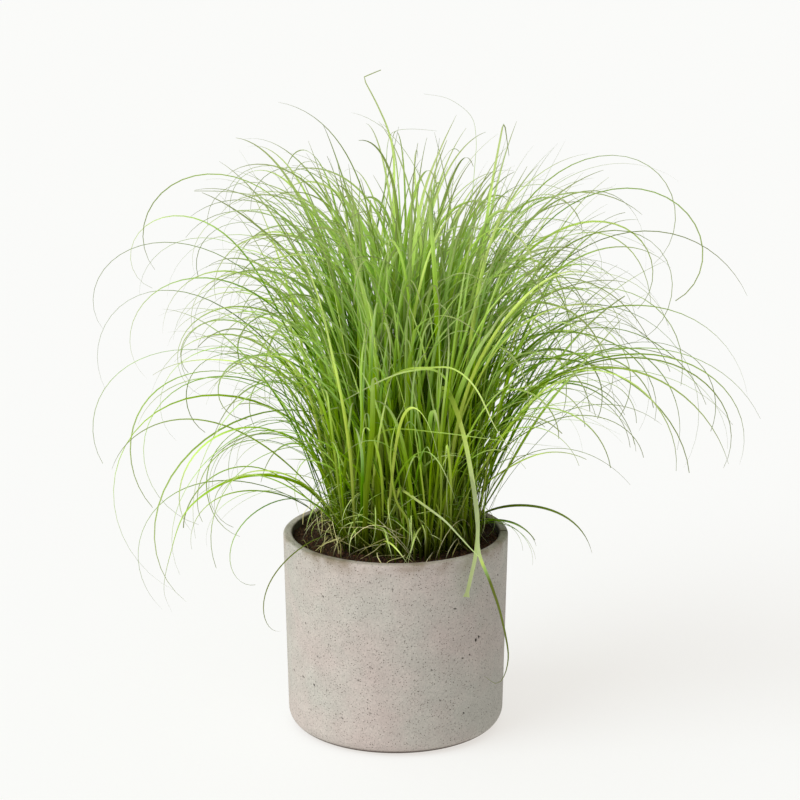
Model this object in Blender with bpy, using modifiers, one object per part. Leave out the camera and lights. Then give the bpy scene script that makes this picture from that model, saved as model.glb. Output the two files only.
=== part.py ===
"""A dense tuft of arching sedge leaves growing in a plain cast concrete pot.

Metres, +Z up. The origin is the middle of the pot's foot, on the surface that it stands on.
Directions round the pot are azimuths: 0 is +X and 90 is +Y.
"""
import math
import random
from collections import namedtuple
from itertools import product

import bmesh
import bpy
import numpy as np

# The pot: a cylinder that narrows a little to a rounded foot
rim_radius = 0.075
foot_radius = 0.0723
pot_height = 0.133
wall = 0.006
pot_floor = 0.010
foot_rounding = 0.011
inner_rounding = 0.008
rim_rounding = 0.0022
pot_steps = 40

# The soil, level in the middle where the shoots stand
gap = 0.0003
soil_top = pot_height - 0.012
level_radius = 0.057
edge_drop = 0.0025
soil_lump = 0.0013
soil_steps = 24

# The tuft, which stands a little to the right of the pot's middle: how close its shoots stand,
# how far a crowded shoot may be moved at a time, and the least angle between leaves of one shoot
crown_centre = (0.006, 0.0)
crown_radius = 0.048
shoot_spacing = 0.0098
nudge = 0.004
fan_angle = 28
leaf_clearance = 0.0012
sample_step = 0.0025
seed = 17

# The leaves: folded narrow at the foot, open at a share of their length, and thin at the tip
main_width = 0.0045
side_width = 0.0036
main_fold = 0.6
side_fold = 0.12
open_share = 0.3
tip_share = 0.16
keel_depth = 0.42
foot_length = 0.004
side_lift = 0.0014
growth_steps = 120
main_points = 11
side_points = 7

# How far the tuft reaches to the left, to the front and down, and to the right, to the back and up
reach_low = (-0.210, -0.215, 0.012)
reach_high = (0.243, 0.215, 0.450)

# Inside that reach, the tuft's many filling leaves keep to a dome: its middle and its half sizes
dome_middle = (0.015, 0.0, 0.130)
dome_half = (0.232, 0.205, 0.290)

# In front of the pot, leaves stay above this height, so that the rim and the soil show
front_rim_height = 0.165
front_rim_side = 0.085
front_rim_depth = 0.05

# A leaf's way: it leaves the soil at one lean from upright and bends on to the lean of its tip.
# Where bend is high, it stays straight for longer and turns over near its tip.
# Its foot is the short upright length below the first bend.
Leaf = namedtuple("Leaf", "azimuth lean_base lean_tip length bend width sway foot lift points")

# The long leaves that make the tuft's outline: azimuth, distance of the shoot from the tuft's middle,
# lean at the soil and at the tip in degrees, length, bend
left_leaves = [
    (172, 0.021, 3, 219, 0.380, 3.3),
    (190, 0.036, 0, 105, 0.297, 3.3),
    (206, 0.038, 0, 200, 0.320, 4.0),
    (178, 0.014, 20, 218, 0.352, 3.6),
    (193, 0.004, 28, 226, 0.333, 3.0),
    (165, 0.037, 11, 202, 0.330, 2.1),
    (152, 0.024, 12, 160, 0.276, 1.5),
    (187, 0.020, -3, 248, 0.352, 1.3),
    (199, 0.016, -4, 224, 0.326, 1.2),
    (208, 0.030, 14, 112, 0.201, 1.2),
    (216, 0.042, 3, 216, 0.232, 2.1),
    (184, 0.040, 32, 222, 0.222, 1.3),
]
right_leaves = [
    (20, 0.044, 0, 235, 0.411, 3.0),
    (-15, 0.036, 0, 125, 0.342, 3.0),
    (4, 0.030, 8, 153, 0.353, 2.0),
    (-12, 0.031, 10, 166, 0.326, 2.4),
    (10, 0.041, -4, 168, 0.343, 1.3),
    (16, 0.020, 3, 210, 0.379, 1.4),
    (-4, 0.027, 20, 194, 0.316, 1.9),
    (-28, 0.047, 0, 160, 0.290, 1.4),
    (30, 0.028, 30, 203, 0.306, 2.1),
    (-36, 0.035, 16, 139, 0.252, 3.2),
    (40, 0.041, 0, 185, 0.379, 2.2),
    (-6, 0.034, 18, 160, 0.115, 0.9),
]
upright_leaves = [
    (110, 0.012, -4, 94, 0.345, 5.0),
    (55, 0.020, 4, 60, 0.322, 2.6),
    (-62, 0.014, -3, 50, 0.316, 2.4),
    (-25, 0.014, 6, 14, 0.290, 1.7),
    (150, 0.010, -4, 62, 0.281, 4.5),
]
leaves_over_rim = [
    (230, 0.036, 60, 262, 0.160, 2.4),
    (-74, 0.024, -4, 208, 0.352, 1.0),
]

# The shoots that fill the tuft at the back and at the front: how many, the azimuths that they fan over,
# the ranges of tip lean, length and bend, and the lean at the soil, which grows with each metre
# from the middle
back_shoots = 10
back_fan = (45, 135)
back_ranges = ((150, 215), (0.27, 0.36), (1.5, 3.0))
back_leans = (4, 250)
front_shoots = 13
front_fan = (215, 325)
front_ranges = ((20, 85), (0.24, 0.31), (2.8, 4.2))
front_leans = (1, 200)

# A side leaf: how far it turns from its main leaf, then the same ranges
side_turn = (30, 75)
side_ranges = ((40, 165), (0.20, 0.31), (2.0, 4.0))
side_leans = (0, 6, 260)

# A leaf that finds its way barred is turned, leant and at last cut short
lengths_tried = (1, 0.85, 0.7)
turns_tried = sorted(range(-60, 61, 5), key=abs)
leans_tried = (0, 4, -4, 9, -9, 15)


def shaded_round(mesh, angle=40):
    """Smooth shading that keeps edges sharper than the angle."""
    mesh.shade_smooth()
    mesh.set_sharp_from_angle(angle=math.radians(angle))


def surface(name, colour, roughness):
    """A material of one colour."""
    material = bpy.data.materials.new(name)
    material.use_nodes = True
    shader = material.node_tree.nodes["Principled BSDF"]
    shader.inputs["Base Color"].default_value = (*colour, 1)
    shader.inputs["Roughness"].default_value = roughness
    shader.inputs["Metallic"].default_value = 0
    return material


def arc(centre_r, centre_z, radius, start, end, steps):
    """Points of a round corner in a turned profile, from one angle to another, in degrees."""
    return [
        (
            centre_r + radius * math.cos(math.radians(start + (end - start) * step / steps)),
            centre_z + radius * math.sin(math.radians(start + (end - start) * step / steps)),
        )
        for step in range(steps + 1)
    ]


def turned(name, profile, steps, material, collection):
    """A solid turned from a profile that runs down its outer side, from axis to axis."""
    mesh = bpy.data.meshes.new(name)
    points = [(radius, 0, height) for radius, height in profile]
    mesh.from_pydata(points, [(i, i + 1) for i in range(len(points) - 1)], [])
    turning = bpy.data.objects.new(name, mesh)
    collection.objects.link(turning)
    screw = turning.modifiers.new("turn", "SCREW")
    screw.steps = steps
    screw.render_steps = steps
    screw.use_merge_vertices = True
    screw.merge_threshold = 0.00005
    bpy.context.view_layer.update()
    evaluated = turning.evaluated_get(bpy.context.evaluated_depsgraph_get())
    solid = bpy.data.meshes.new_from_object(evaluated)
    solid.name = name
    turning.modifiers.clear()
    turning.data = solid
    bpy.data.meshes.remove(mesh)
    solid.materials.append(material)
    shaded_round(solid)
    return turning


def wall_radius(height):
    """Outer radius of the pot above its rounded foot."""
    return foot_radius + (rim_radius - foot_radius) * height / pot_height


def build_pot(collection):
    """The pot's outer side, its rounded foot, and the hollow inside it, as one turned shell."""
    inner_rim = rim_radius - wall
    inner_foot = foot_radius - wall
    inner_bottom = pot_floor + inner_rounding
    outside = arc(rim_radius - rim_rounding, pot_height - rim_rounding, rim_rounding, 90, 0, 2)
    outside += arc(wall_radius(foot_rounding) - foot_rounding, foot_rounding, foot_rounding, 0, -90, 4)
    inside = arc(inner_foot - inner_rounding, inner_bottom, inner_rounding, -90, 0, 2)
    inside += arc(inner_rim + rim_rounding, pot_height - rim_rounding, rim_rounding, 180, 90, 2)
    profile = inside + outside[1:] + [(0, 0)]
    profile = [(0, pot_floor)] + profile
    return turned("pot", profile, pot_steps, surface("cast_concrete", (0.46, 0.43, 0.38), 0.85), collection)


def build_soil(collection):
    """The soil, which fills the hollow of the pot to the level that the shoots stand on."""
    radius_top = rim_radius - wall - gap - (rim_radius - foot_radius) * (pot_height - soil_top) / pot_height
    radius_foot = foot_radius - wall - gap
    bottom = pot_floor + gap
    slope = radius_top - level_radius
    profile = [(0, soil_top), (level_radius / 2, soil_top), (level_radius, soil_top)]
    profile += [(level_radius + slope / 3, soil_top)]
    profile += [(level_radius + 2 * slope / 3, soil_top - 0.4 * edge_drop)]
    profile += [(radius_top, soil_top - edge_drop)]
    profile += arc(radius_foot - inner_rounding, bottom + inner_rounding, inner_rounding, 0, -90, 2)
    profile += [(0, bottom)]
    colour = surface("potting_soil", (0.045, 0.028, 0.018), 0.95)
    soil = turned("soil", profile, soil_steps, colour, collection)
    for vertex in soil.data.vertices:
        place = vertex.co
        radius = math.hypot(place.x, place.y)
        if place.z > soil_top - 2 * edge_drop and radius > level_radius + 0.001:
            turn = math.atan2(place.y, place.x)
            place.z += soil_lump * (math.sin(7 * turn) + 0.8 * math.sin(17 * turn + 400 * radius))
    return soil


def stations(leaf):
    """Shares of a leaf's length where its points lie, closer together where it bends more."""
    whole = np.linspace(0, 1, growth_steps + 1)
    count = leaf.points - 1 if leaf.foot else leaf.points
    return np.interp(np.linspace(0, 1, count), 0.5 * whole + 0.5 * whole ** leaf.bend, whole)


def midrib(leaf):
    """Points along a leaf's midrib: out from the shoot, sideways and up, in the leaf's own directions."""
    steps = growth_steps
    share = (np.arange(steps) + 0.5) / steps
    lean = np.radians(leaf.lean_base + (leaf.lean_tip - leaf.lean_base) * share ** leaf.bend)
    out = np.concatenate([[0.0], np.cumsum(np.sin(lean))]) * leaf.length / steps
    up = np.concatenate([[0.0], np.cumsum(np.cos(lean))]) * leaf.length / steps
    along = stations(leaf)
    whole = np.linspace(0, 1, steps + 1)
    height = leaf.lift + leaf.foot + np.interp(along, whole, up)
    curve = np.stack([np.interp(along, whole, out), leaf.sway * along ** 2, height], axis=1)
    if leaf.foot:
        curve = np.concatenate([[(0, 0, leaf.lift)], curve])
    return curve


def in_place(leaf, base, curve):
    """The same points round the pot: turned to the leaf's azimuth and moved to its shoot."""
    turn = math.radians(leaf.azimuth)
    across = np.array([[math.cos(turn), -math.sin(turn)], [math.sin(turn), math.cos(turn)]])
    placed = curve.copy()
    placed[:, :2] = curve[:, :2] @ across.T + base
    placed[:, 2] += soil_top + gap
    return placed


def half_widths(leaf):
    """Half of the leaf's width at each point: folded narrow at the foot, wide at a third, thin at the tip."""
    along = stations(leaf)
    folded = main_fold if leaf.foot else side_fold
    unfolded = folded + (1 - folded) * np.minimum(along / open_share, 1) ** 0.7
    halves = leaf.width / 2 * unfolded * (tip_share + (1 - tip_share) * (1 - along ** 2.2))
    return np.concatenate([halves[:1], halves]) if leaf.foot else halves


def samples(placed, halves):
    """Evenly spaced points on a leaf with the half width at each, for measuring what is free."""
    legs = np.linalg.norm(np.diff(placed, axis=0), axis=1)
    reach = np.concatenate([[0.0], np.cumsum(legs)])
    marks = np.arange(0, reach[-1], sample_step)
    columns = [np.interp(marks, reach, placed[:, axis]) for axis in range(3)]
    return np.stack(columns + [np.interp(marks, reach, halves)], axis=1)


def clears_pot(marks):
    """True where the leaf stays off the pot's wall and rim and off the soil."""
    radius = np.hypot(marks[:, 0], marks[:, 1])
    height = marks[:, 2]
    margin = marks[:, 3] + 0.0015
    inner = rim_radius - wall
    over_wall = (radius > inner - margin) & (radius < rim_radius + margin) & (height < pot_height + margin)
    over_soil = (radius < inner) & (height < soil_top + margin) & (np.arange(len(height)) > 2)
    return not (over_wall.any() or over_soil.any())


def keeps_outline(marks, planned, hangs):
    """True inside the tuft's reach and, for a filling leaf, inside its dome and off the front of the rim."""
    places = marks[:, :3]
    if (places < reach_low).any() or (places > reach_high).any():
        return False
    in_front = (places[:, 1] < -front_rim_depth) & (abs(places[:, 0]) < front_rim_side)
    if not hangs and (in_front & (places[:, 2] < front_rim_height)).any():
        return False
    above = places[places[:, 2] > dome_middle[2]]
    return planned or (((above - dome_middle) / dome_half) ** 2).sum(axis=1).max() < 1


def clears_leaves(marks, taken):
    """True where the leaf keeps its clearance from every leaf of the other shoots."""
    low = marks[:, :3].min(axis=0) - 0.01
    high = marks[:, :3].max(axis=0) + 0.01
    near = taken[((taken[:, :3] > low) & (taken[:, :3] < high)).all(axis=1)]
    for some in (marks[::6], marks):
        apart = np.linalg.norm(some[:, None, :3] - near[None, :, :3], axis=2)
        if (apart <= some[:, None, 3] + near[None, :, 3] + leaf_clearance).any():
            return False
    return True


def fans_out(azimuth, siblings):
    """True where a leaf points well away from the other leaves of its own shoot."""
    return all(abs((azimuth - other.azimuth + 180) % 360 - 180) > fan_angle for other in siblings)


def fitted(leaf, base, siblings, taken, planned, hangs):
    """The leaf turned, leant and at last cut short, to the nearest free way; None if there is none."""
    for share, turn in product(lengths_tried, turns_tried):
        if not fans_out(leaf.azimuth + turn, siblings):
            continue
        for lean in leans_tried:
            trial = leaf._replace(azimuth=leaf.azimuth + turn, lean_base=leaf.lean_base + lean,
                                  length=leaf.length * share)
            marks = samples(in_place(trial, base, midrib(trial)), half_widths(trial))
            if not clears_pot(marks) or not keeps_outline(marks, planned, hangs):
                continue
            if clears_leaves(marks, taken):
                return trial, marks
    return None


def spread(bases):
    """The shoots' places, pushed apart until they keep their spacing inside the crown."""
    places = np.array(bases, dtype=float)
    for _ in range(400):
        offset = places[:, None] - places[None]
        apart = np.linalg.norm(offset, axis=2) + np.eye(len(places))
        push = np.clip(shoot_spacing - apart, 0, None) * (1 - np.eye(len(places)))
        places += 0.4 * (offset / apart[..., None] * push[..., None]).sum(axis=1)
        reach = np.linalg.norm(places, axis=1, keepdims=True)
        places *= np.minimum(1, crown_radius / np.maximum(reach, 1e-9))
    return places + crown_centre


def filling_rows(chance, count, fan, ranges, leans, innermost):
    """Rows for the shoots between the planned ones, fanned over a range of azimuths."""
    rows = []
    for number in range(count):
        azimuth = fan[0] + (fan[1] - fan[0]) * (number + 0.5) / count + chance.uniform(-8, 8)
        distance = crown_radius * math.sqrt(chance.uniform(innermost, 1))
        shape = [chance.uniform(*limits) for limits in ranges]
        rows.append((azimuth, distance, leans[0] + leans[1] * distance, *shape))
    return rows


def planned_shoots(chance):
    """Each shoot's place and its main leaf: the outline first, then the back, then the middle and front."""
    rows = leaves_over_rim + left_leaves + right_leaves + upright_leaves
    rows += filling_rows(chance, back_shoots, back_fan, back_ranges, back_leans, 0.15)
    rows += filling_rows(chance, front_shoots, front_fan, front_ranges, front_leans, 0.1)
    places = []
    mains = []
    for azimuth, distance, lean_base, lean_tip, length, bend in rows:
        turn = math.radians(azimuth)
        places.append((distance * math.cos(turn), distance * math.sin(turn)))
        sway = chance.uniform(-0.05, 0.05) * length
        mains.append(Leaf(azimuth, lean_base, lean_tip, length, bend, main_width, sway,
                          foot_length, 0, main_points))
    return spread(places), mains


def side_leaf(main, base, hand, lift, chance):
    """A younger, more upright leaf of the same shoot, turned to one side of the main leaf."""
    distance = np.linalg.norm(base - np.array(crown_centre))
    tips, lengths, bends = side_ranges
    length = chance.uniform(*lengths)
    azimuth = main.azimuth + hand * chance.uniform(*side_turn)
    lean_base = chance.uniform(*side_leans[:2]) + side_leans[2] * distance
    lean_tip = chance.uniform(*tips)
    bend = chance.uniform(*bends)
    sway = chance.uniform(-0.06, 0.06) * length
    return Leaf(azimuth, lean_base, lean_tip, length, bend, side_width, sway, 0, lift, side_points)


def nearby(base):
    """The shoot's own place, then three rings of places round it for a shoot that finds no free way."""
    places = [base]
    for ring in range(1, 4):
        for turn in range(8):
            angle = turn * math.pi / 4
            places.append(base + ring * nudge * np.array((math.cos(angle), math.sin(angle))))
    return places


def grown_tuft():
    """Every shoot's place and its leaves, each in the nearest way that is free."""
    chance = random.Random(seed)
    bases, mains = planned_shoots(chance)
    shoots = [[] for _ in mains]
    taken = [np.zeros((0, 4)) for _ in mains]
    outline_count = len(mains) - back_shoots - front_shoots
    for turn, hand in enumerate((0, 1, -1)):
        for number, main in enumerate(mains):
            others = np.concatenate([marks for index, marks in enumerate(taken) if index != number])
            leaf = side_leaf(main, bases[number], hand, side_lift * turn, chance) if hand else main
            planned = number < outline_count and not hand
            hangs = number < len(leaves_over_rim) and not hand
            for base in [bases[number]] if hand else nearby(bases[number]):
                found = fitted(leaf, base, shoots[number], others, planned, hangs)
                if found:
                    bases[number] = base
                    shoots[number].append(found[0])
                    taken[number] = np.concatenate([taken[number], found[1]])
                    break
    return bases, shoots


def keel_profile(guides):
    """Half-width 1 section of a leaf: flat above, with a low keel below."""
    curve = bpy.data.curves.new("keel_profile", "CURVE")
    curve.dimensions = "2D"
    spline = curve.splines.new("POLY")
    spline.points.add(2)
    corners = ((-1, keel_depth / 3), (0, -2 * keel_depth / 3), (1, keel_depth / 3))
    for point, corner in zip(spline.points, corners):
        point.co = (*corner, 0, 1)
    spline.use_cyclic_u = True
    profile = bpy.data.objects.new("keel_profile", curve)
    guides.objects.link(profile)
    return profile


def leaf_mesh(name, leaf, base, profile, guides):
    """One keeled leaf along its midrib, as a closed mesh in its place."""
    curve = bpy.data.curves.new(name, "CURVE")
    curve.dimensions = "3D"
    curve.bevel_mode = "OBJECT"
    curve.bevel_object = profile
    curve.use_fill_caps = True
    spline = curve.splines.new("POLY")
    spline.points.add(leaf.points - 1)
    for point, place, half in zip(spline.points, midrib(leaf), half_widths(leaf)):
        point.co = (*place, 1)
        point.radius = half
    blade = bpy.data.objects.new(name, curve)
    blade.location = (base[0], base[1], soil_top + gap)
    blade.rotation_euler = (0, 0, math.radians(leaf.azimuth))
    guides.objects.link(blade)
    bpy.context.view_layer.update()
    evaluated = blade.evaluated_get(bpy.context.evaluated_depsgraph_get())
    mesh = bpy.data.meshes.new_from_object(evaluated)
    mesh.transform(blade.matrix_world)
    mesh.name = name
    shape = bmesh.new()
    shape.from_mesh(mesh)
    bmesh.ops.remove_doubles(shape, verts=shape.verts, dist=0.000001)
    bmesh.ops.recalc_face_normals(shape, faces=shape.faces)
    shape.to_mesh(mesh)
    shape.free()
    bpy.data.objects.remove(blade)
    bpy.data.curves.remove(curve)
    return mesh


def build_shoot(number, base, leaves, material, profile, collection, guides):
    """One shoot: its main leaf with the side leaves fused to its foot."""
    name = f"shoot_{number:02d}"
    mesh = leaf_mesh(name, leaves[0], base, profile, guides)
    mesh.materials.append(material)
    shoot = bpy.data.objects.new(name, mesh)
    collection.objects.link(shoot)
    for index, leaf in enumerate(leaves[1:], start=1):
        side_mesh = leaf_mesh(f"{name}_side_{index}", leaf, base, profile, guides)
        side = bpy.data.objects.new(f"{name}_side_{index}", side_mesh)
        side.hide_render = True
        side.display_type = "WIRE"
        guides.objects.link(side)
        joint = shoot.modifiers.new(f"fuse_{index}", "BOOLEAN")
        joint.operation = "UNION"
        joint.object = side
        joint.solver = "EXACT"
    return shoot


def main():
    """The whole plant."""
    for item in list(bpy.data.objects):
        bpy.data.objects.remove(item)
    plant = bpy.data.collections.new("potted_sedge")
    guides = bpy.data.collections.new("guides")
    bpy.context.scene.collection.children.link(plant)
    bpy.context.scene.collection.children.link(guides)
    build_pot(plant)
    build_soil(plant)
    leaf_green = surface("sedge_leaf", (0.13, 0.24, 0.035), 0.5)
    profile = keel_profile(guides)
    profile.hide_render = True
    profile.display_type = "WIRE"
    bases, shoots = grown_tuft()
    print("leaves of each shoot", [len(leaves) for leaves in shoots])
    for number, (base, leaves) in enumerate(zip(bases, shoots), start=1):
        build_shoot(number, base, leaves, leaf_green, profile, plant, guides)


main()
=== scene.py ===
# %% [markdown]
# # A potted sedge
# The real object is a young ornamental sedge: a dense tuft of narrow, arching leaves in a plain cast
# concrete pot. The solids that this script loads are its frame: the pot, the soil and one solid for each
# shoot. Everything below dresses them: fine leaves in place of the shoots, crumbs and dry threads on the
# soil, air holes in the concrete. The frame is never moved, so all measures come from it.

# %% Load the solids
import math
import random
from collections import namedtuple
from itertools import product

import bpy
import numpy as np
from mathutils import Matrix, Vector


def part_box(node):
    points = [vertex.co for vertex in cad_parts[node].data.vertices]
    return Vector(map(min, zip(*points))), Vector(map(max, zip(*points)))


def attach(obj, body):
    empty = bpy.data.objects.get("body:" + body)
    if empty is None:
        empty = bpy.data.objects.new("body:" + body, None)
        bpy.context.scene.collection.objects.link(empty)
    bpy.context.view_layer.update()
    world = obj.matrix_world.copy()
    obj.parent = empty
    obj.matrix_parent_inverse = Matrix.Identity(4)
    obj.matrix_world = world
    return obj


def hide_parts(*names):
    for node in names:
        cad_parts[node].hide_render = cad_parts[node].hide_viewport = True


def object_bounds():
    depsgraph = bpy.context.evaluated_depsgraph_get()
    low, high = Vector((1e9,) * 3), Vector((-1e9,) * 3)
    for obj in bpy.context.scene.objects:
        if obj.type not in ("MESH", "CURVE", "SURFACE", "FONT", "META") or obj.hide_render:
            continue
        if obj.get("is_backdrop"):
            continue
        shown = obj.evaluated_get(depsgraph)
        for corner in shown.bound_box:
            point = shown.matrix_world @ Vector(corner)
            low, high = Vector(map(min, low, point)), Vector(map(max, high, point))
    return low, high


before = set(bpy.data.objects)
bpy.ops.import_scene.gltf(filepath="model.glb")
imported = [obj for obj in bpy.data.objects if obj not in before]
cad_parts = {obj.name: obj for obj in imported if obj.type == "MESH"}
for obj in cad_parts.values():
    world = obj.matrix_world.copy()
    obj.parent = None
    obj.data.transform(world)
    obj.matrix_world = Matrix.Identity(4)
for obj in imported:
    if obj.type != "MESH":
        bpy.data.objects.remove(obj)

millimetre = 0.001
solid_low, solid_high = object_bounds()
pot_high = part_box("pot")[1]
print("solids reach from", tuple(solid_low), "to", tuple(solid_high))

# %% [markdown]
# ## The camera and the studio
# A product photographer stands well back and uses a long lens, so that the pot's sides stay upright. The
# rim's ellipse in the photograph gives how far the camera looks down, and the pot's size there gives how
# far away it stands. The camera is made first, because it can then turn a pixel of the photograph into a
# place in the scene for the few leaves that anyone would recognise.

# %% The camera
image_side = 800
focal_pixels = 2400
sensor_mm = 36
aim = Vector((0.0029, 0, 0.2228))
camera_distance = 1.58
camera_pitch = math.radians(14.47)

forward = Vector((0, math.cos(camera_pitch), -math.sin(camera_pitch)))
rightward = Vector((1, 0, 0))
upward = rightward.cross(forward)
eye = aim - camera_distance * forward

lens = bpy.data.cameras.new("camera")
lens.sensor_width = sensor_mm
lens.lens = sensor_mm * focal_pixels / image_side
camera = bpy.data.objects.new("camera", lens)
camera.location = eye
camera.rotation_euler = forward.to_track_quat("-Z", "Y").to_euler()
bpy.context.scene.collection.objects.link(camera)
bpy.context.scene.camera = camera
print("camera at", tuple(round(part, 3) for part in eye), "with a lens of", lens.lens, "mm")

# %% From a pixel to a place


def sight_line(pixel_x, pixel_y):
    """The direction in which the camera sees a pixel of the photograph."""
    half = image_side / 2
    return forward + (rightward * (pixel_x - half) + upward * (half - pixel_y)) / focal_pixels


def at_depth(pixel_x, pixel_y, depth):
    """The place seen at a pixel, on the upright plane that lies at a depth behind the pot's middle."""
    line = sight_line(pixel_x, pixel_y)
    return eye + line * ((depth - eye.y) / line.y)


print("the rim's left end lies at", tuple(round(part, 4) for part in at_depth(283.8, 533, 0)))

# %% [markdown]
# The studio is one wide, pale floor under a large soft light. A sun lamp with a very wide angle lights the
# whole floor evenly and still gives the soft shadow beside the pot, which an area lamp would do only near
# it. The floor glows a little, as acrylic over a light table does, and that keeps the shadow pale. The
# world adds what white walls send back, more from the left, where the pot is brightest. Colours are given
# as on a screen, in hex, and one function turns them to the linear values that the renderer adds up.

# %% Colours, floor and lights
def linear(code):
    """The linear colour of an sRGB hex code, with an alpha of 1."""
    parts = [int(code[place:place + 2], 16) / 255 for place in (1, 3, 5)]
    bright = [((part + 0.055) / 1.055) ** 2.4 if part > 0.04045 else part / 12.92 for part in parts]
    return (*bright, 1)


def add(tree, kind, inputs=None, **settings):
    """A node with its settings. Its inputs are values, outputs, or nodes, whose first output is meant."""
    node = tree.nodes.new(kind)
    for name, value in settings.items():
        setattr(node, name, value)
    for name, value in (inputs or {}).items():
        if isinstance(value, bpy.types.Node):
            value = value.outputs[0]
        if isinstance(value, bpy.types.NodeSocket):
            tree.links.new(value, node.inputs[name])
        else:
            node.inputs[name].default_value = value
    return node


def empty_material(name):
    """A material without nodes, and its tree."""
    material = bpy.data.materials.new(name)
    material.use_nodes = True
    material.node_tree.nodes.clear()
    return material, material.node_tree


# Frosted acrylic over a light table: matt and white, with most of its brightness from below
acrylic, acrylic_tree = empty_material("frosted_white_acrylic")
acrylic_skin = add(acrylic_tree, "ShaderNodeBsdfPrincipled", {
    "Base Color": linear("#8F999E"), "Roughness": 0.9, "Specular IOR Level": 0.0,
    "Emission Color": linear("#FEF8F2"), "Emission Strength": 0.70})
add(acrylic_tree, "ShaderNodeOutputMaterial", {"Surface": acrylic_skin})

floor_radius = 40
bpy.ops.mesh.primitive_circle_add(vertices=64, radius=floor_radius, fill_type="NGON")
floor = bpy.context.object
floor.name = "studio_floor"
floor.data.materials.append(acrylic)
floor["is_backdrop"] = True

softbox = bpy.data.lights.new("softbox", "SUN")
softbox.energy = 1.98
softbox.angle = math.radians(48)
softbox_object = bpy.data.objects.new("softbox", softbox)
light_from = Vector((-0.76, -0.46, 0.62))
softbox_object.rotation_euler = light_from.to_track_quat("Z", "Y").to_euler()
bpy.context.scene.collection.objects.link(softbox_object)

walls = bpy.data.worlds.new("white_walls")
walls.use_nodes = True
background = walls.node_tree.nodes["Background"]
background.inputs["Color"].default_value = linear("#FDFBF9")
direction = add(walls.node_tree, "ShaderNodeTexCoord").outputs["Generated"]
sideways = add(walls.node_tree, "ShaderNodeSeparateXYZ", {0: direction}).outputs["X"]
wall_light = add(walls.node_tree, "ShaderNodeMapRange", {
    "Value": sideways, "From Min": -1.0, "From Max": 1.0, "To Min": 0.88, "To Max": 0.37}).outputs[0]
walls.node_tree.links.new(wall_light, background.inputs["Strength"])
bpy.context.scene.world = walls
bpy.context.scene.view_settings.view_transform = "Standard"
print("floor, softbox and walls are in place")

# %% [markdown]
# ## How the leaves grow
# A sedge leaf leaves the soil at one lean and bends over towards its tip, late and sharply if it is stiff,
# early and evenly if it is limp. Five numbers hold that rule: the direction, the lean at the soil and at
# the tip, the length, and how late it bends. The shoots' solids grew by this rule with a search that turns
# a leaf until it finds a free way. The same rule and search are repeated here, so each fine leaf knows
# the whole way of the leaf that it stands for, and not only the faces that were made of it.

# %% Sizes of the pot and the soil
rim_radius = pot_high.x
foot_radius = 0.0723
pot_height = pot_high.z
wall = 0.006
gap = 0.0003
soil_top = pot_height - 0.012

# %% The tuft's driving sizes
crown_centre = (0.006, 0.0)
crown_radius = 0.048
shoot_spacing = 0.0098
nudge = 0.004
fan_angle = 28
leaf_clearance = 0.0012
sample_step = 0.0025
seed = 17

main_width = 0.0045
side_width = 0.0036
main_fold = 0.6
side_fold = 0.12
open_share = 0.3
tip_share = 0.16
foot_length = 0.004
side_lift = 0.0014
growth_steps = 120
main_points = 11
side_points = 7

reach_low = (-0.210, -0.215, 0.012)
reach_high = (0.243, 0.215, 0.450)
dome_middle = (0.015, 0.0, 0.130)
dome_half = (0.232, 0.205, 0.290)
front_rim_height = 0.165
front_rim_side = 0.085
front_rim_depth = 0.05

# %% [markdown]
# The long leaves that make the outline were read off the photograph one by one. A row holds the azimuth
# (0 is to the right, 90 to the back), the shoot's distance from the tuft's middle, the lean at the soil and
# at the tip in degrees, the length, and how late the leaf bends.

# %% The leaves that make the outline
Leaf = namedtuple("Leaf", "azimuth lean_base lean_tip length bend width sway foot lift points")

left_leaves = [
    (172, 0.021, 3, 219, 0.380, 3.3),
    (190, 0.036, 0, 105, 0.297, 3.3),
    (206, 0.038, 0, 200, 0.320, 4.0),
    (178, 0.014, 20, 218, 0.352, 3.6),
    (193, 0.004, 28, 226, 0.333, 3.0),
    (165, 0.037, 11, 202, 0.330, 2.1),
    (152, 0.024, 12, 160, 0.276, 1.5),
    (187, 0.020, -3, 248, 0.352, 1.3),
    (199, 0.016, -4, 224, 0.326, 1.2),
    (208, 0.030, 14, 112, 0.201, 1.2),
    (216, 0.042, 3, 216, 0.232, 2.1),
    (184, 0.040, 32, 222, 0.222, 1.3),
]
right_leaves = [
    (20, 0.044, 0, 235, 0.411, 3.0),
    (-15, 0.036, 0, 125, 0.342, 3.0),
    (4, 0.030, 8, 153, 0.353, 2.0),
    (-12, 0.031, 10, 166, 0.326, 2.4),
    (10, 0.041, -4, 168, 0.343, 1.3),
    (16, 0.020, 3, 210, 0.379, 1.4),
    (-4, 0.027, 20, 194, 0.316, 1.9),
    (-28, 0.047, 0, 160, 0.290, 1.4),
    (30, 0.028, 30, 203, 0.306, 2.1),
    (-36, 0.035, 16, 139, 0.252, 3.2),
    (40, 0.041, 0, 185, 0.379, 2.2),
    (-6, 0.034, 18, 160, 0.115, 0.9),
]
upright_leaves = [
    (110, 0.012, -4, 94, 0.345, 5.0),
    (55, 0.020, 4, 60, 0.322, 2.6),
    (-62, 0.014, -3, 50, 0.316, 2.4),
    (-25, 0.014, 6, 14, 0.290, 1.7),
    (150, 0.010, -4, 62, 0.281, 4.5),
]
leaves_over_rim = [
    (230, 0.036, 60, 262, 0.160, 2.4),
    (-74, 0.024, -4, 208, 0.352, 1.0),
]
print(len(left_leaves + right_leaves + upright_leaves + leaves_over_rim), "leaves make the outline")

# %% [markdown]
# The tuft is filled between them by shoots at the back and at the front, whose values are drawn from
# ranges with a fixed seed.

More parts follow.
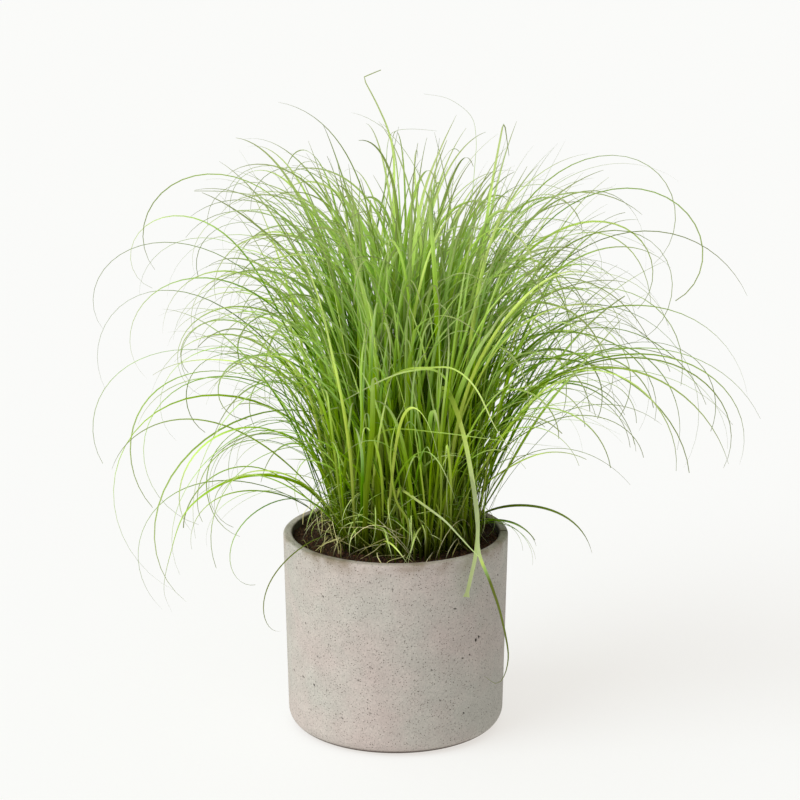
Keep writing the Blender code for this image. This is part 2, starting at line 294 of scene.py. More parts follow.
# %% The ranges of the leaves that fill the tuft
back_shoots = 10
back_fan = (45, 135)
back_ranges = ((150, 215), (0.27, 0.36), (1.5, 3.0))
back_leans = (4, 250)
front_shoots = 13
front_fan = (215, 325)
front_ranges = ((20, 85), (0.24, 0.31), (2.8, 4.2))
front_leans = (1, 200)
side_turn = (30, 75)
side_ranges = ((40, 165), (0.20, 0.31), (2.0, 4.0))
side_leans = (0, 6, 260)
lengths_tried = (1, 0.85, 0.7)
turns_tried = sorted(range(-60, 61, 5), key=abs)
leans_tried = (0, 4, -4, 9, -9, 15)

# %% The way of one leaf


def stations(leaf):
    """Shares of a leaf's length where its points lie, closer together where it bends more."""
    whole = np.linspace(0, 1, growth_steps + 1)
    count = leaf.points - 1 if leaf.foot else leaf.points
    return np.interp(np.linspace(0, 1, count), 0.5 * whole + 0.5 * whole ** leaf.bend, whole)


def midrib(leaf):
    """Points along a leaf's midrib: out from the shoot, sideways and up, in the leaf's own directions."""
    steps = growth_steps
    share = (np.arange(steps) + 0.5) / steps
    lean = np.radians(leaf.lean_base + (leaf.lean_tip - leaf.lean_base) * share ** leaf.bend)
    out = np.concatenate([[0.0], np.cumsum(np.sin(lean))]) * leaf.length / steps
    up = np.concatenate([[0.0], np.cumsum(np.cos(lean))]) * leaf.length / steps
    along = stations(leaf)
    whole = np.linspace(0, 1, steps + 1)
    height = leaf.lift + leaf.foot + np.interp(along, whole, up)
    curve = np.stack([np.interp(along, whole, out), leaf.sway * along ** 2, height], axis=1)
    if leaf.foot:
        curve = np.concatenate([[(0, 0, leaf.lift)], curve])
    return curve


def in_place(leaf, base, curve):
    """The same points round the pot: turned to the leaf's azimuth and moved to its shoot."""
    turn = math.radians(leaf.azimuth)
    across = np.array([[math.cos(turn), -math.sin(turn)], [math.sin(turn), math.cos(turn)]])
    placed = curve.copy()
    placed[:, :2] = curve[:, :2] @ across.T + base
    placed[:, 2] += soil_top + gap
    return placed


# %% How wide it is, and the marks along it that are measured
unfolding_power = 0.7
tapering_power = 2.2


def half_widths(leaf):
    """Half the leaf's width at each point: narrow at the folded foot, wide at a third, thin at the tip."""
    along = stations(leaf)
    folded = main_fold if leaf.foot else side_fold
    unfolded = folded + (1 - folded) * np.minimum(along / open_share, 1) ** unfolding_power
    tapered = tip_share + (1 - tip_share) * (1 - along ** tapering_power)
    halves = leaf.width / 2 * unfolded * tapered
    return np.concatenate([halves[:1], halves]) if leaf.foot else halves


def samples(placed, halves):
    """Evenly spaced points on a leaf with the half width at each, for measuring what is free."""
    legs = np.linalg.norm(np.diff(placed, axis=0), axis=1)
    reach = np.concatenate([[0.0], np.cumsum(legs)])
    marks = np.arange(0, reach[-1], sample_step)
    columns = [np.interp(marks, reach, placed[:, axis]) for axis in range(3)]
    return np.stack(columns + [np.interp(marks, reach, halves)], axis=1)


# %% [markdown]
# A leaf can't grow through the pot's wall or through another shoot's leaf. Each trial leaf is measured at
# marks a few millimetres apart, and it is turned, leant or cut short until all of them are free.

# %% Tests for a free way
pot_clearance = 0.0015
search_reach = 0.01


def clears_pot(marks):
    """True where the leaf stays off the pot's wall and rim and off the soil."""
    radius = np.hypot(marks[:, 0], marks[:, 1])
    height = marks[:, 2]
    margin = marks[:, 3] + pot_clearance
    inner = rim_radius - wall
    over_wall = (radius > inner - margin) & (radius < rim_radius + margin) & (height < pot_height + margin)
    over_soil = (radius < inner) & (height < soil_top + margin) & (np.arange(len(height)) > 2)
    return not (over_wall.any() or over_soil.any())


def keeps_front_open(places):
    """True where nothing hides the front of the rim and the soil behind it."""
    in_front = (places[:, 1] < -front_rim_depth) & (abs(places[:, 0]) < front_rim_side)
    return not (in_front & (places[:, 2] < front_rim_height)).any()


def keeps_outline(marks, planned, hangs):
    """True inside the tuft's reach and, for a filling leaf, inside its dome and off the front of the rim."""
    places = marks[:, :3]
    if (places < reach_low).any() or (places > reach_high).any():
        return False
    if not hangs and not keeps_front_open(places):
        return False
    above = places[places[:, 2] > dome_middle[2]]
    return planned or (((above - dome_middle) / dome_half) ** 2).sum(axis=1).max() < 1


def clears_leaves(marks, taken):
    """True where the leaf keeps its clearance from every leaf of the other shoots."""
    low = marks[:, :3].min(axis=0) - search_reach
    high = marks[:, :3].max(axis=0) + search_reach
    near = taken[((taken[:, :3] > low) & (taken[:, :3] < high)).all(axis=1)]
    for some in (marks[::6], marks):
        apart = np.linalg.norm(some[:, None, :3] - near[None, :, :3], axis=2)
        if (apart <= some[:, None, 3] + near[None, :, 3] + leaf_clearance).any():
            return False
    return True


# %% The search


def fans_out(azimuth, siblings):
    """True where a leaf points well away from the other leaves of its own shoot."""
    return all(abs((azimuth - other.azimuth + 180) % 360 - 180) > fan_angle for other in siblings)


def fitted(leaf, base, siblings, taken, planned, hangs):
    """The leaf turned, leant and at last cut short, to the nearest free way; None if there is none."""
    for share, turn in product(lengths_tried, turns_tried):
        if not fans_out(leaf.azimuth + turn, siblings):
            continue
        for lean in leans_tried:
            trial = leaf._replace(azimuth=leaf.azimuth + turn, lean_base=leaf.lean_base + lean,
                                  length=leaf.length * share)
            marks = samples(in_place(trial, base, midrib(trial)), half_widths(trial))
            if not clears_pot(marks) or not keeps_outline(marks, planned, hangs):
                continue
            if clears_leaves(marks, taken):
                return trial, marks
    return None


# %% Where the shoots stand
spreading_rounds = 400
push_share = 0.4


def spread(bases):
    """The shoots' places, pushed apart until they keep their spacing inside the crown."""
    places = np.array(bases, dtype=float)
    for _ in range(spreading_rounds):
        offset = places[:, None] - places[None]
        apart = np.linalg.norm(offset, axis=2) + np.eye(len(places))
        push = np.clip(shoot_spacing - apart, 0, None) * (1 - np.eye(len(places)))
        places += push_share * (offset / apart[..., None] * push[..., None]).sum(axis=1)
        reach = np.linalg.norm(places, axis=1, keepdims=True)
        places *= np.minimum(1, crown_radius / np.maximum(reach, 1e-9))
    return places + crown_centre


def filling_rows(chance, count, fan, ranges, leans, innermost):
    """Rows for the shoots between the planned ones, fanned over a range of azimuths."""
    rows = []
    for number in range(count):
        azimuth = fan[0] + (fan[1] - fan[0]) * (number + 0.5) / count + chance.uniform(-8, 8)
        distance = crown_radius * math.sqrt(chance.uniform(innermost, 1))
        shape = [chance.uniform(*limits) for limits in ranges]
        rows.append((azimuth, distance, leans[0] + leans[1] * distance, *shape))
    return rows


def planned_shoots(chance):
    """Each shoot's place and its main leaf: the outline first, then the back, then the middle and front."""
    rows = leaves_over_rim + left_leaves + right_leaves + upright_leaves
    rows += filling_rows(chance, back_shoots, back_fan, back_ranges, back_leans, 0.15)
    rows += filling_rows(chance, front_shoots, front_fan, front_ranges, front_leans, 0.1)
    places = []
    mains = []
    for azimuth, distance, lean_base, lean_tip, length, bend in rows:
        turn = math.radians(azimuth)
        places.append((distance * math.cos(turn), distance * math.sin(turn)))
        sway = chance.uniform(-0.05, 0.05) * length
        mains.append(Leaf(azimuth, lean_base, lean_tip, length, bend, main_width, sway,
                          foot_length, 0, main_points))
    return spread(places), mains


# %% Side leaves, and the whole tuft


def side_leaf(main, base, hand, lift, chance):
    """A younger, more upright leaf of the same shoot, turned to one side of the main leaf."""
    distance = np.linalg.norm(base - np.array(crown_centre))
    tips, lengths, bends = side_ranges
    length = chance.uniform(*lengths)
    azimuth = main.azimuth + hand * chance.uniform(*side_turn)
    lean_base = chance.uniform(*side_leans[:2]) + side_leans[2] * distance
    lean_tip = chance.uniform(*tips)
    bend = chance.uniform(*bends)
    sway = chance.uniform(-0.06, 0.06) * length
    return Leaf(azimuth, lean_base, lean_tip, length, bend, side_width, sway, 0, lift, side_points)


def nearby(base):
    """The shoot's own place, then three rings of places round it for a shoot that finds no free way."""
    places = [base]
    for ring in range(1, 4):
        for turn in range(8):
            angle = turn * math.pi / 4
            places.append(base + ring * nudge * np.array((math.cos(angle), math.sin(angle))))
    return places


def grown_tuft():
    """Every shoot's place and its leaves, each in the nearest way that is free."""
    chance = random.Random(seed)
    bases, mains = planned_shoots(chance)
    shoots = [[] for _ in mains]
    taken = [np.zeros((0, 4)) for _ in mains]
    outline_count = len(mains) - back_shoots - front_shoots
    for turn, hand in enumerate((0, 1, -1)):
        for number, main in enumerate(mains):
            others = np.concatenate([marks for index, marks in enumerate(taken) if index != number])
            leaf = side_leaf(main, bases[number], hand, side_lift * turn, chance) if hand else main
            planned = number < outline_count and not hand
            hangs = number < len(leaves_over_rim) and not hand
            for base in [bases[number]] if hand else nearby(bases[number]):
                found = fitted(leaf, base, shoots[number], others, planned, hangs)
                if found:
                    bases[number] = base
                    shoots[number].append(found[0])
                    taken[number] = np.concatenate([taken[number], found[1]])
                    break
    return bases, shoots


bases, shoots = grown_tuft()
shoot_names = [f"shoot_{number:02d}" for number in range(1, len(shoots) + 1)]
print(len(shoots), "shoots with", sum(len(leaves) for leaves in shoots), "leaves")

# %% Compare the grown leaves with the solids
furthest = 0
for name, base, leaves in zip(shoot_names, bases, shoots):
    grown = np.concatenate([in_place(leaf, base, midrib(leaf)) for leaf in leaves])
    low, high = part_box(name)
    furthest = max(furthest, abs(grown.min(axis=0) - low).max(), abs(grown.max(axis=0) - high).max())
print(f"no leaf's midrib ends more than {furthest * 1000:.1f} mm from its solid's sides")

# %% [markdown]
# ## From one leaf to a tuft
# A solid holds one leaf for a handful of real ones. Each is joined here by finer leaves of the same shoot,
# which leave the soil beside it and lean, bend and end a little otherwise. One row of values describes a
# fine leaf: the growth rule's five numbers, how it sways, twists and kinks, how wide it is, and how old.

# %% One fine leaf's values
Blade = namedtuple(
    "Blade",
    "place azimuth lean_base lean_tip length bend sway width fold tip kink_at kink_by wave phase roll twist "
    "shade young drop")

no_kink = 2.0
pale_leaf_chance = 0.2


def some_age(chance):
    """How young a leaf is: 1 is pale and young, 0 is full green, and below 0 it is old and olive."""
    return chance.uniform(0.4, 1.0) if chance.random() < pale_leaf_chance else chance.uniform(-0.5, 0.2)


def blade_like(leaf, place, chance, **changes):
    """A fine leaf that follows a leaf's way, with a twist, a wave and a shade of its own."""
    blade = Blade(
        place, leaf.azimuth, leaf.lean_base, leaf.lean_tip, leaf.length, leaf.bend, leaf.sway,
        leaf.width * chance.uniform(0.38, 0.68), chance.uniform(0.2, 0.36), chance.uniform(0.04, 0.09),
        no_kink, 0, chance.uniform(0, 7), chance.uniform(0, 6), chance.uniform(-25, 25),
        chance.uniform(-60, 60), chance.random(), some_age(chance), 0.006)
    return blade._replace(**changes)


wave_rate = 9.0
way_steps = 40


def blade_way(blade):
    """Points along a fine leaf's midrib with its wave and its kink, as the node tree below grows it."""
    share = (np.arange(way_steps) + 0.5) / way_steps
    wave = blade.wave * np.sin(wave_rate * share + blade.phase)
    bent = (blade.lean_tip - blade.lean_base) * share ** blade.bend
    lean = np.radians(blade.lean_base + bent + wave + blade.kink_by * (share > blade.kink_at))
    heading = np.radians(blade.azimuth + wave)
    ahead = np.stack([np.sin(lean) * np.cos(heading), np.sin(lean) * np.sin(heading), np.cos(lean)], axis=1)
    sideways = np.stack([-np.sin(heading), np.cos(heading), 0 * heading], axis=1)
    steps = (ahead * blade.length + sideways * (2 * share * blade.sway)[:, None]) / way_steps
    return np.array(blade.place) + np.concatenate([np.zeros((1, 3)), np.cumsum(steps, axis=0)])


hem_radius = 0.095
hem_left = 0.115
hem_right = 0.180
spare = 0.006


def stays_inside(blade, in_pot=False):
    """True for a fine leaf in the solids' box, above the hem, and either inside the pot or off its front."""
    places = blade_way(blade)
    marks = np.concatenate([places, np.full((len(places), 1), blade.width / 2)], axis=1)
    hem = np.where(places[:, 0] > 0, hem_right, hem_left)
    radius = np.hypot(places[:, 0], places[:, 1])
    if ((radius > hem_radius) & (places[:, 2] < hem)).any():
        return False
    over_pot = radius.max() < rim_radius - wall
    inside = (places > np.array(solid_low) - spare).all() and (places < np.array(solid_high) + spare).all()
    return inside and clears_pot(marks) and (over_pot if in_pot else keeps_front_open(places))


# %% The finer leaves round each solid leaf
fine_leaves_of_outline = 3
fine_leaves_of_main = 4
fine_leaves_of_side = 2
fine_leaves_at_the_right = 5
riper_at_the_right = 0.2
thinnest_hanging = 0.0013
outline_count = len(leaves_over_rim + left_leaves + right_leaves)
right_outline = range(outline_count - len(right_leaves), outline_count)
drawn_by_hand = (1, 26, 27, 28, 29, 30)
shoot_radius = 0.0046
wide_leaf_chance = 0.16
kink_chance = 0.07
crowd_radius = 0.0085
ways_tried = 14


def beside(base, chance, radius=shoot_radius):
    """A place in the soil within the shoot."""
    angle = chance.uniform(0, 2 * math.pi)
    away = radius * math.sqrt(chance.random())
    return (base[0] + away * math.cos(angle), base[1] + away * math.sin(angle),
            soil_top + chance.uniform(0, 0.003))


def some_width(chance):
    """Most leaves are two or three millimetres wide, and a few are four or more."""
    if chance.random() < wide_leaf_chance:
        return chance.uniform(0.0036, 0.0048)
    return chance.uniform(0.0017, 0.0034)


def thin_width(chance):
    """The long leaves of the outline are thin."""
    return chance.uniform(0.0013, 0.0026)


def kinked(blade, chance):
    """Now and then a leaf is bent sharply at one place, as a brushed or folded one is."""
    if chance.random() > kink_chance:
        return blade
    return blade._replace(kink_at=chance.uniform(0.5, 0.88), kink_by=chance.uniform(-50, 50))


def finer_leaf(leaf, base, lengths, chance, in_outline):
    """A finer leaf of the same shoot; None if it finds no free way."""
    width = thin_width(chance) if in_outline else some_width(chance)
    for _ in range(ways_tried):
        close = leaf._replace(
            azimuth=leaf.azimuth + chance.gauss(0, 9), lean_base=leaf.lean_base + chance.uniform(-4, 4),
            lean_tip=leaf.lean_tip + chance.gauss(0, 24), length=leaf.length * chance.uniform(*lengths),
            bend=leaf.bend * chance.uniform(0.8, 1.3), sway=leaf.sway + chance.uniform(-0.02, 0.02))
        blade = blade_like(close, beside(base, chance), chance, width=width)
        blade = blade._replace(tip=chance.uniform(0.15, 0.3)) if in_outline else kinked(blade, chance)
        if stays_inside(blade):
            return blade
    return None


def fine_shoot(number, base, leaves, chance):
    """All fine leaves of one shoot: those that follow its solid, and the finer ones beside them."""
    hanging = number < len(leaves_over_rim)
    in_outline = number < outline_count
    blades = []
    for index, leaf in enumerate(leaves):
        place = (base[0], base[1], soil_top + gap + leaf.foot + leaf.lift)
        if index or number not in drawn_by_hand:
            follower = blade_like(leaf, place, chance)
            if in_outline and not index:
                follower = follower._replace(width=1.15 * thin_width(chance), young=chance.uniform(-0.6, 0))
            if hanging and not index:
                follower = follower._replace(width=thinnest_hanging, young=-1.0)
            blades.append(follower)
        count = fine_leaves_of_side
        lengths = (0.6, 1.0)
        if not index and not hanging:
            count = fine_leaves_of_outline if in_outline else fine_leaves_of_main
            count = fine_leaves_at_the_right if number in right_outline else count
            lengths = (0.55, 1.0) if in_outline else lengths
        source = leaves[-1] if hanging else leaf
        for _ in range(count):
            blades.append(finer_leaf(source, base, lengths, chance, in_outline))
    riper = riper_at_the_right if number in right_outline else 0
    return [blade._replace(young=blade.young - riper) for blade in blades if blade]


chance = random.Random(5)
tuft = [fine_shoot(number, base, leaves, chance) for number, (base, leaves) in enumerate(zip(bases, shoots))]
print(sum(len(blades) for blades in tuft), "fine leaves")

# %% [markdown]
# Four more kinds of leaf close the tuft. Upright ones stand between the others and make its green core.
# Longer ones in the middle make its crown. Short young ones fill it near the soil. Thin, curly ones are
# the last to be seen: they lie round its foot.

# %% Upright, crown, short and curly leaves
upright_count = 250
crown_count = 185
short_count = 110
curly_count = 360
stiff_width = 0.0026
places_tried = 8


def outward(base):
    """The azimuth from the tuft's middle to a shoot, and how far away it stands."""
    offset = np.array(base) - crown_centre
    return math.degrees(math.atan2(offset[1], offset[0])), np.linalg.norm(offset)


def upright_leaf(base, chance):
    """A full-grown, nearly upright leaf that bends over late. A wide one is stiff and bends less."""
    azimuth, distance = outward(base)
    width = some_width(chance)
    furthest_lean = 80 if width > stiff_width else 165
    leaf = Leaf(azimuth + chance.gauss(0, 50), 170 * distance + chance.uniform(-5, 6),
                chance.uniform(25, furthest_lean), chance.uniform(0.18, 0.29), chance.uniform(2.2, 4.6),
                width, chance.uniform(-0.03, 0.03), 0, 0, side_points)
    place = beside(base, chance, crowd_radius)
    return kinked(blade_like(leaf, place, chance, width=leaf.width), chance)


def loose_leaf(base, chance, azimuth, lean_base, tips, lengths, bends, widths, sway, **changes):
    """A leaf beside a shoot, with each value drawn between its limits."""
    shape = [chance.uniform(*limits) for limits in (tips, lengths, bends, widths)]
    leaf = Leaf(azimuth, lean_base, *shape, chance.uniform(-sway, sway), 0, 0, side_points)
    place = beside(base, chance, crowd_radius)
    changed = {name: chance.uniform(*limits) for name, limits in changes.items()}
    return blade_like(leaf, place, chance, width=leaf.width, **changed)


def crown_leaf(base, chance):
    """A long leaf near the middle that stands upright and turns over at the top of the tuft."""
    azimuth, distance = outward(base)
    return loose_leaf(
        base, chance, azimuth + chance.gauss(0, 60), 100 * distance + chance.uniform(-6, 6), (80, 200),
        (0.23, 0.33), (2.8, 5.4), (0.0020, 0.0044), 0.03, young=(-0.5, 0.6))


def short_leaf(base, chance):
    """A young leaf that leans away from the tuft's middle."""
    azimuth, distance = outward(base)
    return loose_leaf(
        base, chance, azimuth + chance.gauss(0, 40), 190 * distance + chance.uniform(-4, 10), (20, 120),
        (0.08, 0.19), (1.2, 2.8), (0.0012, 0.0024), 0.02)


def curly_leaf(base, chance):
    """A thin pale leaf that rises a little and turns back to the soil in a curl."""
    blade = loose_leaf(
        base, chance, chance.uniform(0, 360), chance.uniform(0, 28), (80, 280), (0.05, 0.16), (0.9, 2.4),
        (0.0008, 0.0016), 0.02, young=(-0.3, 1.3), wave=(4, 26))
    return blade._replace(fold=0.9)


rooted = range(len(leaves_over_rim), len(tuft))
innermost = sorted(rooted, key=lambda number: outward(bases[number])[1])[:len(tuft) // 2]
foremost = sorted(rooted, key=lambda number: bases[number][1])[:len(tuft) // 3]
for maker, wanted, shoots_with in (
        (upright_leaf, upright_count, rooted), (crown_leaf, crown_count, innermost),
        (short_leaf, short_count, rooted), (curly_leaf, curly_count // 3, rooted),
        (curly_leaf, 2 * curly_count // 3, foremost)):
    grown_count = 0
    for _ in range(places_tried * wanted):
        number = chance.choice(shoots_with)
        blade = maker(bases[number], chance)
        if stays_inside(blade, maker is curly_leaf):
            tuft[number].append(blade)
            grown_count += 1
        if grown_count == wanted:
            break
    print(maker.__name__, grown_count)
print(sum(len(blades) for blades in tuft), "fine leaves with the upright, crown, short and curly ones")

# %% [markdown]
# ## The growth rule as a node tree
# Geometry Nodes grow all fine leaves at once. Every point of the starting mesh is one leaf, and its
# attributes are the row of values above. A line of stations is put on each point, each station works out
# its lean from its share of the length, and Accumulate Field adds the short steps up, leaf by leaf, as a
# real leaf grows on from where it was. That gives the midrib of any leaf with one small tree.

# %% A tree and its named inputs


def new_tree(name, wanted):
    """A Geometry Nodes tree with inputs (name, kind of socket, value), and what they give inside it."""
    tree = bpy.data.node_groups.new(name, "GeometryNodeTree")
    for way in ("INPUT", "OUTPUT"):
        tree.interface.new_socket("Geometry", in_out=way, socket_type="NodeSocketGeometry")
    for label, kind, value in wanted:
        socket = tree.interface.new_socket(label, in_out="INPUT", socket_type=kind)
        if value is not None:
            socket.default_value = value
    return tree, add(tree, "NodeGroupInput").outputs


def made_by(tree, name, mesh, values):
    """A new object with the plain mesh that a tree makes from a starting mesh."""
    piece = bpy.data.objects.new(name, mesh)
    modifier = piece.modifiers.new("make", "NODES")
    modifier.node_group = tree
    for socket in tree.interface.items_tree:
        if socket.in_out == "INPUT" and socket.name in values:
            modifier[socket.identifier] = values[socket.name]
    bpy.context.scene.collection.objects.link(piece)
    bpy.context.view_layer.update()
    evaluated = piece.evaluated_get(bpy.context.evaluated_depsgraph_get())
    made = bpy.data.meshes.new_from_object(evaluated)
    piece.modifiers.remove(modifier)
    piece.data = made
    made.name = name
    bpy.data.meshes.remove(mesh)
    return piece


# %% [markdown]
# First the part that turns a midrib into a blade. A sedge leaf is a shallow gutter with a keel below, so
# its section has four corners: two thin edges, the gutter's bottom and the keel. Curve to Mesh draws that
# section along the midrib, and the section's size at each station comes from the leaf's half width there.

# %% The tree for a keeled blade
blade_tree, given = new_tree("keeled_blade", [
    ("Keel depth", "NodeSocketFloat", 0.42),
    ("Thickness", "NodeSocketFloat", 0.24),
    ("Blade", "NodeSocketMaterial", None),
])
edge_side, keel_side = (
    add(blade_tree, "ShaderNodeMath", {0: given["Keel depth"], 1: part}, operation="MULTIPLY")
    for part in (-1 / 3, 2 / 3))
gutter_side = add(blade_tree, "ShaderNodeMath", {0: keel_side, 1: given["Thickness"]}, operation="SUBTRACT")
corners = {}
for label, side, across in (("Point 1", edge_side, -1), ("Point 2", keel_side, 0),
                            ("Point 3", edge_side, 1), ("Point 4", gutter_side, 0)):
    corners[label] = add(blade_tree, "ShaderNodeCombineXYZ", {"X": side, "Y": across})
section = add(blade_tree, "GeometryNodeCurvePrimitiveQuadrilateral", corners, mode="POINTS")
section_place = add(blade_tree, "ShaderNodeSeparateXYZ", {0: add(blade_tree, "GeometryNodeInputPosition")})
section_marked = add(blade_tree, "GeometryNodeStoreNamedAttribute", {
    "Geometry": section, "Name": "across", "Value": section_place.outputs["Y"]}, data_type="FLOAT")

# %% The section drawn along the midrib
rib_value = {}
for name, kind in (("keel", "FLOAT_VECTOR"), ("turned", "FLOAT"), ("half", "FLOAT")):
    rib_value[name] = add(blade_tree, "GeometryNodeInputNamedAttribute", {"Name": name}, data_type=kind)
ribs = add(blade_tree, "GeometryNodeMeshToCurve", {"Mesh": given["Geometry"]})
ribs = add(blade_tree, "GeometryNodeSetCurveNormal", {
    "Curve": ribs, "Normal": rib_value["keel"]}, mode="FREE")
ribs = add(blade_tree, "GeometryNodeSetCurveTilt", {"Curve": ribs, "Tilt": rib_value["turned"]})
drawn = add(blade_tree, "GeometryNodeCurveToMesh", {
    "Curve": ribs, "Profile Curve": section_marked, "Scale": rib_value["half"], "Fill Caps": True})
coated = add(blade_tree, "GeometryNodeSetMaterial", {"Geometry": drawn, "Material": given["Blade"]})
add(blade_tree, "NodeGroupOutput", {"Geometry": coated})
print("the blade's tree has", len(blade_tree.nodes), "nodes")

# %% The growth tree: stations on every leaf
growth, given = new_tree("leaf_growth", [
    ("Stations", "NodeSocketInt", 30),
    ("Late stations", "NodeSocketFloat", 0.6),
    ("Keel depth", "NodeSocketFloat", 0.42),
    ("Thickness", "NodeSocketFloat", 0.24),
    ("Blade", "NodeSocketMaterial", None),
])
value_of = {}
for name in Blade._fields[1:]:
    value_of[name] = add(growth, "GeometryNodeInputNamedAttribute", {"Name": name}, data_type="FLOAT")
index = add(growth, "GeometryNodeInputIndex")
numbered = add(growth, "GeometryNodeStoreNamedAttribute", {
    "Geometry": given["Geometry"], "Name": "leaf", "Value": index}, data_type="INT")
line = add(growth, "GeometryNodeMeshLine", {"Count": given["Stations"], "Offset": (0, 0, 0)})
last_station = add(growth, "ShaderNodeMath", {0: given["Stations"], 1: 1}, operation="SUBTRACT")
station_share = add(growth, "ShaderNodeMath", {0: index, 1: last_station}, operation="DIVIDE")
marked_line = add(growth, "GeometryNodeStoreNamedAttribute", {
    "Geometry": line, "Name": "station", "Value": station_share}, data_type="FLOAT")
placed = add(growth, "GeometryNodeInstanceOnPoints", {"Points": numbered, "Instance": marked_line})
lines = add(growth, "GeometryNodeRealizeInstances", {"Geometry": placed})

# %% [markdown]
# A leaf that bends late needs its stations near the tip. The station's number is therefore turned into a
# share of the length that partly follows the bend: between two stations the leaf then turns by nearly the
# same angle everywhere, and thirty stations are enough for a smooth arc.

# %% The share of the length at a station and at the one before it
station = add(growth, "GeometryNodeInputNamedAttribute", {"Name": "station"}, data_type="FLOAT")
one_station = add(growth, "ShaderNodeMath", {0: 1, 1: last_station}, operation="DIVIDE")
station_before = add(growth, "ShaderNodeMath", {0: station, 1: one_station}, operation="SUBTRACT")
station_before = add(growth, "ShaderNodeMath", {0: station_before, 1: 0}, operation="MAXIMUM")
early_bend = add(growth, "ShaderNodeMath", {0: 1, 1: value_of["bend"]}, operation="DIVIDE")
shares = []
for here in (station, station_before):
    late = add(growth, "ShaderNodeMath", {0: here, 1: early_bend}, operation="POWER")
    shares.append(add(growth, "ShaderNodeMapRange", {
        "Value": given["Late stations"], "To Min": here, "To Max": late}))
share, share_before = shares
step_share = add(growth, "ShaderNodeMath", {0: share, 1: share_before}, operation="SUBTRACT")
twice_middle = add(growth, "ShaderNodeMath", {0: share, 1: share_before}, operation="ADD")
middle = add(growth, "ShaderNodeMath", {0: twice_middle, 1: 0.5}, operation="MULTIPLY")

# %% The lean of a step: bend, wave and kink
bent = add(growth, "ShaderNodeMath", {0: middle, 1: value_of["bend"]}, operation="POWER")
lean = add(growth, "ShaderNodeMapRange", {
    "Value": bent, "To Min": value_of["lean_base"], "To Max": value_of["lean_tip"]})
wave_place = add(growth, "ShaderNodeMath", {
    0: middle, 1: wave_rate, 2: value_of["phase"]}, operation="MULTIPLY_ADD")
wave = add(growth, "ShaderNodeMath", {0: wave_place}, operation="SINE")
past_kink = add(growth, "ShaderNodeMath", {0: middle, 1: value_of["kink_at"]}, operation="GREATER_THAN")
lean = add(growth, "ShaderNodeMath", {0: wave, 1: value_of["wave"], 2: lean}, operation="MULTIPLY_ADD")
lean = add(growth, "ShaderNodeMath", {
    0: past_kink, 1: value_of["kink_by"], 2: lean}, operation="MULTIPLY_ADD")
heading = add(growth, "ShaderNodeMath", {
    0: wave, 1: value_of["wave"], 2: value_of["azimuth"]}, operation="MULTIPLY_ADD")
lean_angle = add(growth, "ShaderNodeMath", {0: lean}, operation="RADIANS")
heading_angle = add(growth, "ShaderNodeMath", {0: heading}, operation="RADIANS")
growing_way = add(growth, "ShaderNodeCombineXYZ", {"Y": lean_angle, "Z": heading_angle})

# %% The steps, added up into midribs
ahead, keel, sideways = (
    add(growth, "ShaderNodeVectorRotate", {
        "Vector": axis, "Rotation": growing_way}, rotation_type="EULER_XYZ")
    for axis in ((0, 0, 1), (1, 0, 0), (0, 1, 0)))
step_length = add(growth, "ShaderNodeMath", {0: step_share, 1: value_of["length"]}, operation="MULTIPLY")
drift = add(growth, "ShaderNodeMath", {0: step_share, 1: twice_middle}, operation="MULTIPLY")
drift_length = add(growth, "ShaderNodeMath", {0: drift, 1: value_of["sway"]}, operation="MULTIPLY")
step_ahead = add(growth, "ShaderNodeVectorMath", {0: ahead, "Scale": step_length}, operation="SCALE")
step_sideways = add(growth, "ShaderNodeVectorMath", {0: sideways, "Scale": drift_length}, operation="SCALE")
step = add(growth, "ShaderNodeVectorMath", {0: step_ahead, 1: step_sideways}, operation="ADD")
leaf_number = add(growth, "GeometryNodeInputNamedAttribute", {"Name": "leaf"}, data_type="INT")
grown_so_far = add(growth, "GeometryNodeAccumulateField", {
    "Value": step, "Group ID": leaf_number}, data_type="FLOAT_VECTOR").outputs["Leading"]
at_root = add(growth, "ShaderNodeMath", {0: station, 1: 0.0001}, operation="LESS_THAN")
root_drop = add(growth, "ShaderNodeMath", {0: at_root, 1: value_of["drop"]}, operation="MULTIPLY")
below = add(growth, "ShaderNodeVectorMath", {0: (0, 0, -1), "Scale": root_drop}, operation="SCALE")
offset = add(growth, "ShaderNodeVectorMath", {0: grown_so_far, 1: below}, operation="ADD")
midribs = add(growth, "GeometryNodeSetPosition", {"Geometry": lines, "Offset": offset})

# %% The width along the leaf
opened_by = 0.4
taper = 2.6
unfolded = add(growth, "ShaderNodeMapRange", {
    "Value": share, "From Max": opened_by, "To Min": value_of["fold"], "To Max": 1.0})
worn = add(growth, "ShaderNodeMath", {0: share, 1: taper}, operation="POWER")
tapered = add(growth, "ShaderNodeMapRange", {"Value": worn, "To Min": 1.0, "To Max": value_of["tip"]})
half_width = 0.5
for factor in (unfolded, value_of["width"], tapered):
    half_width = add(growth, "ShaderNodeMath", {0: half_width, 1: factor}, operation="MULTIPLY")
turned = add(growth, "ShaderNodeMath", {
    0: share, 1: value_of["twist"], 2: value_of["roll"]}, operation="MULTIPLY_ADD")
turned_angle = add(growth, "ShaderNodeMath", {0: turned}, operation="RADIANS")

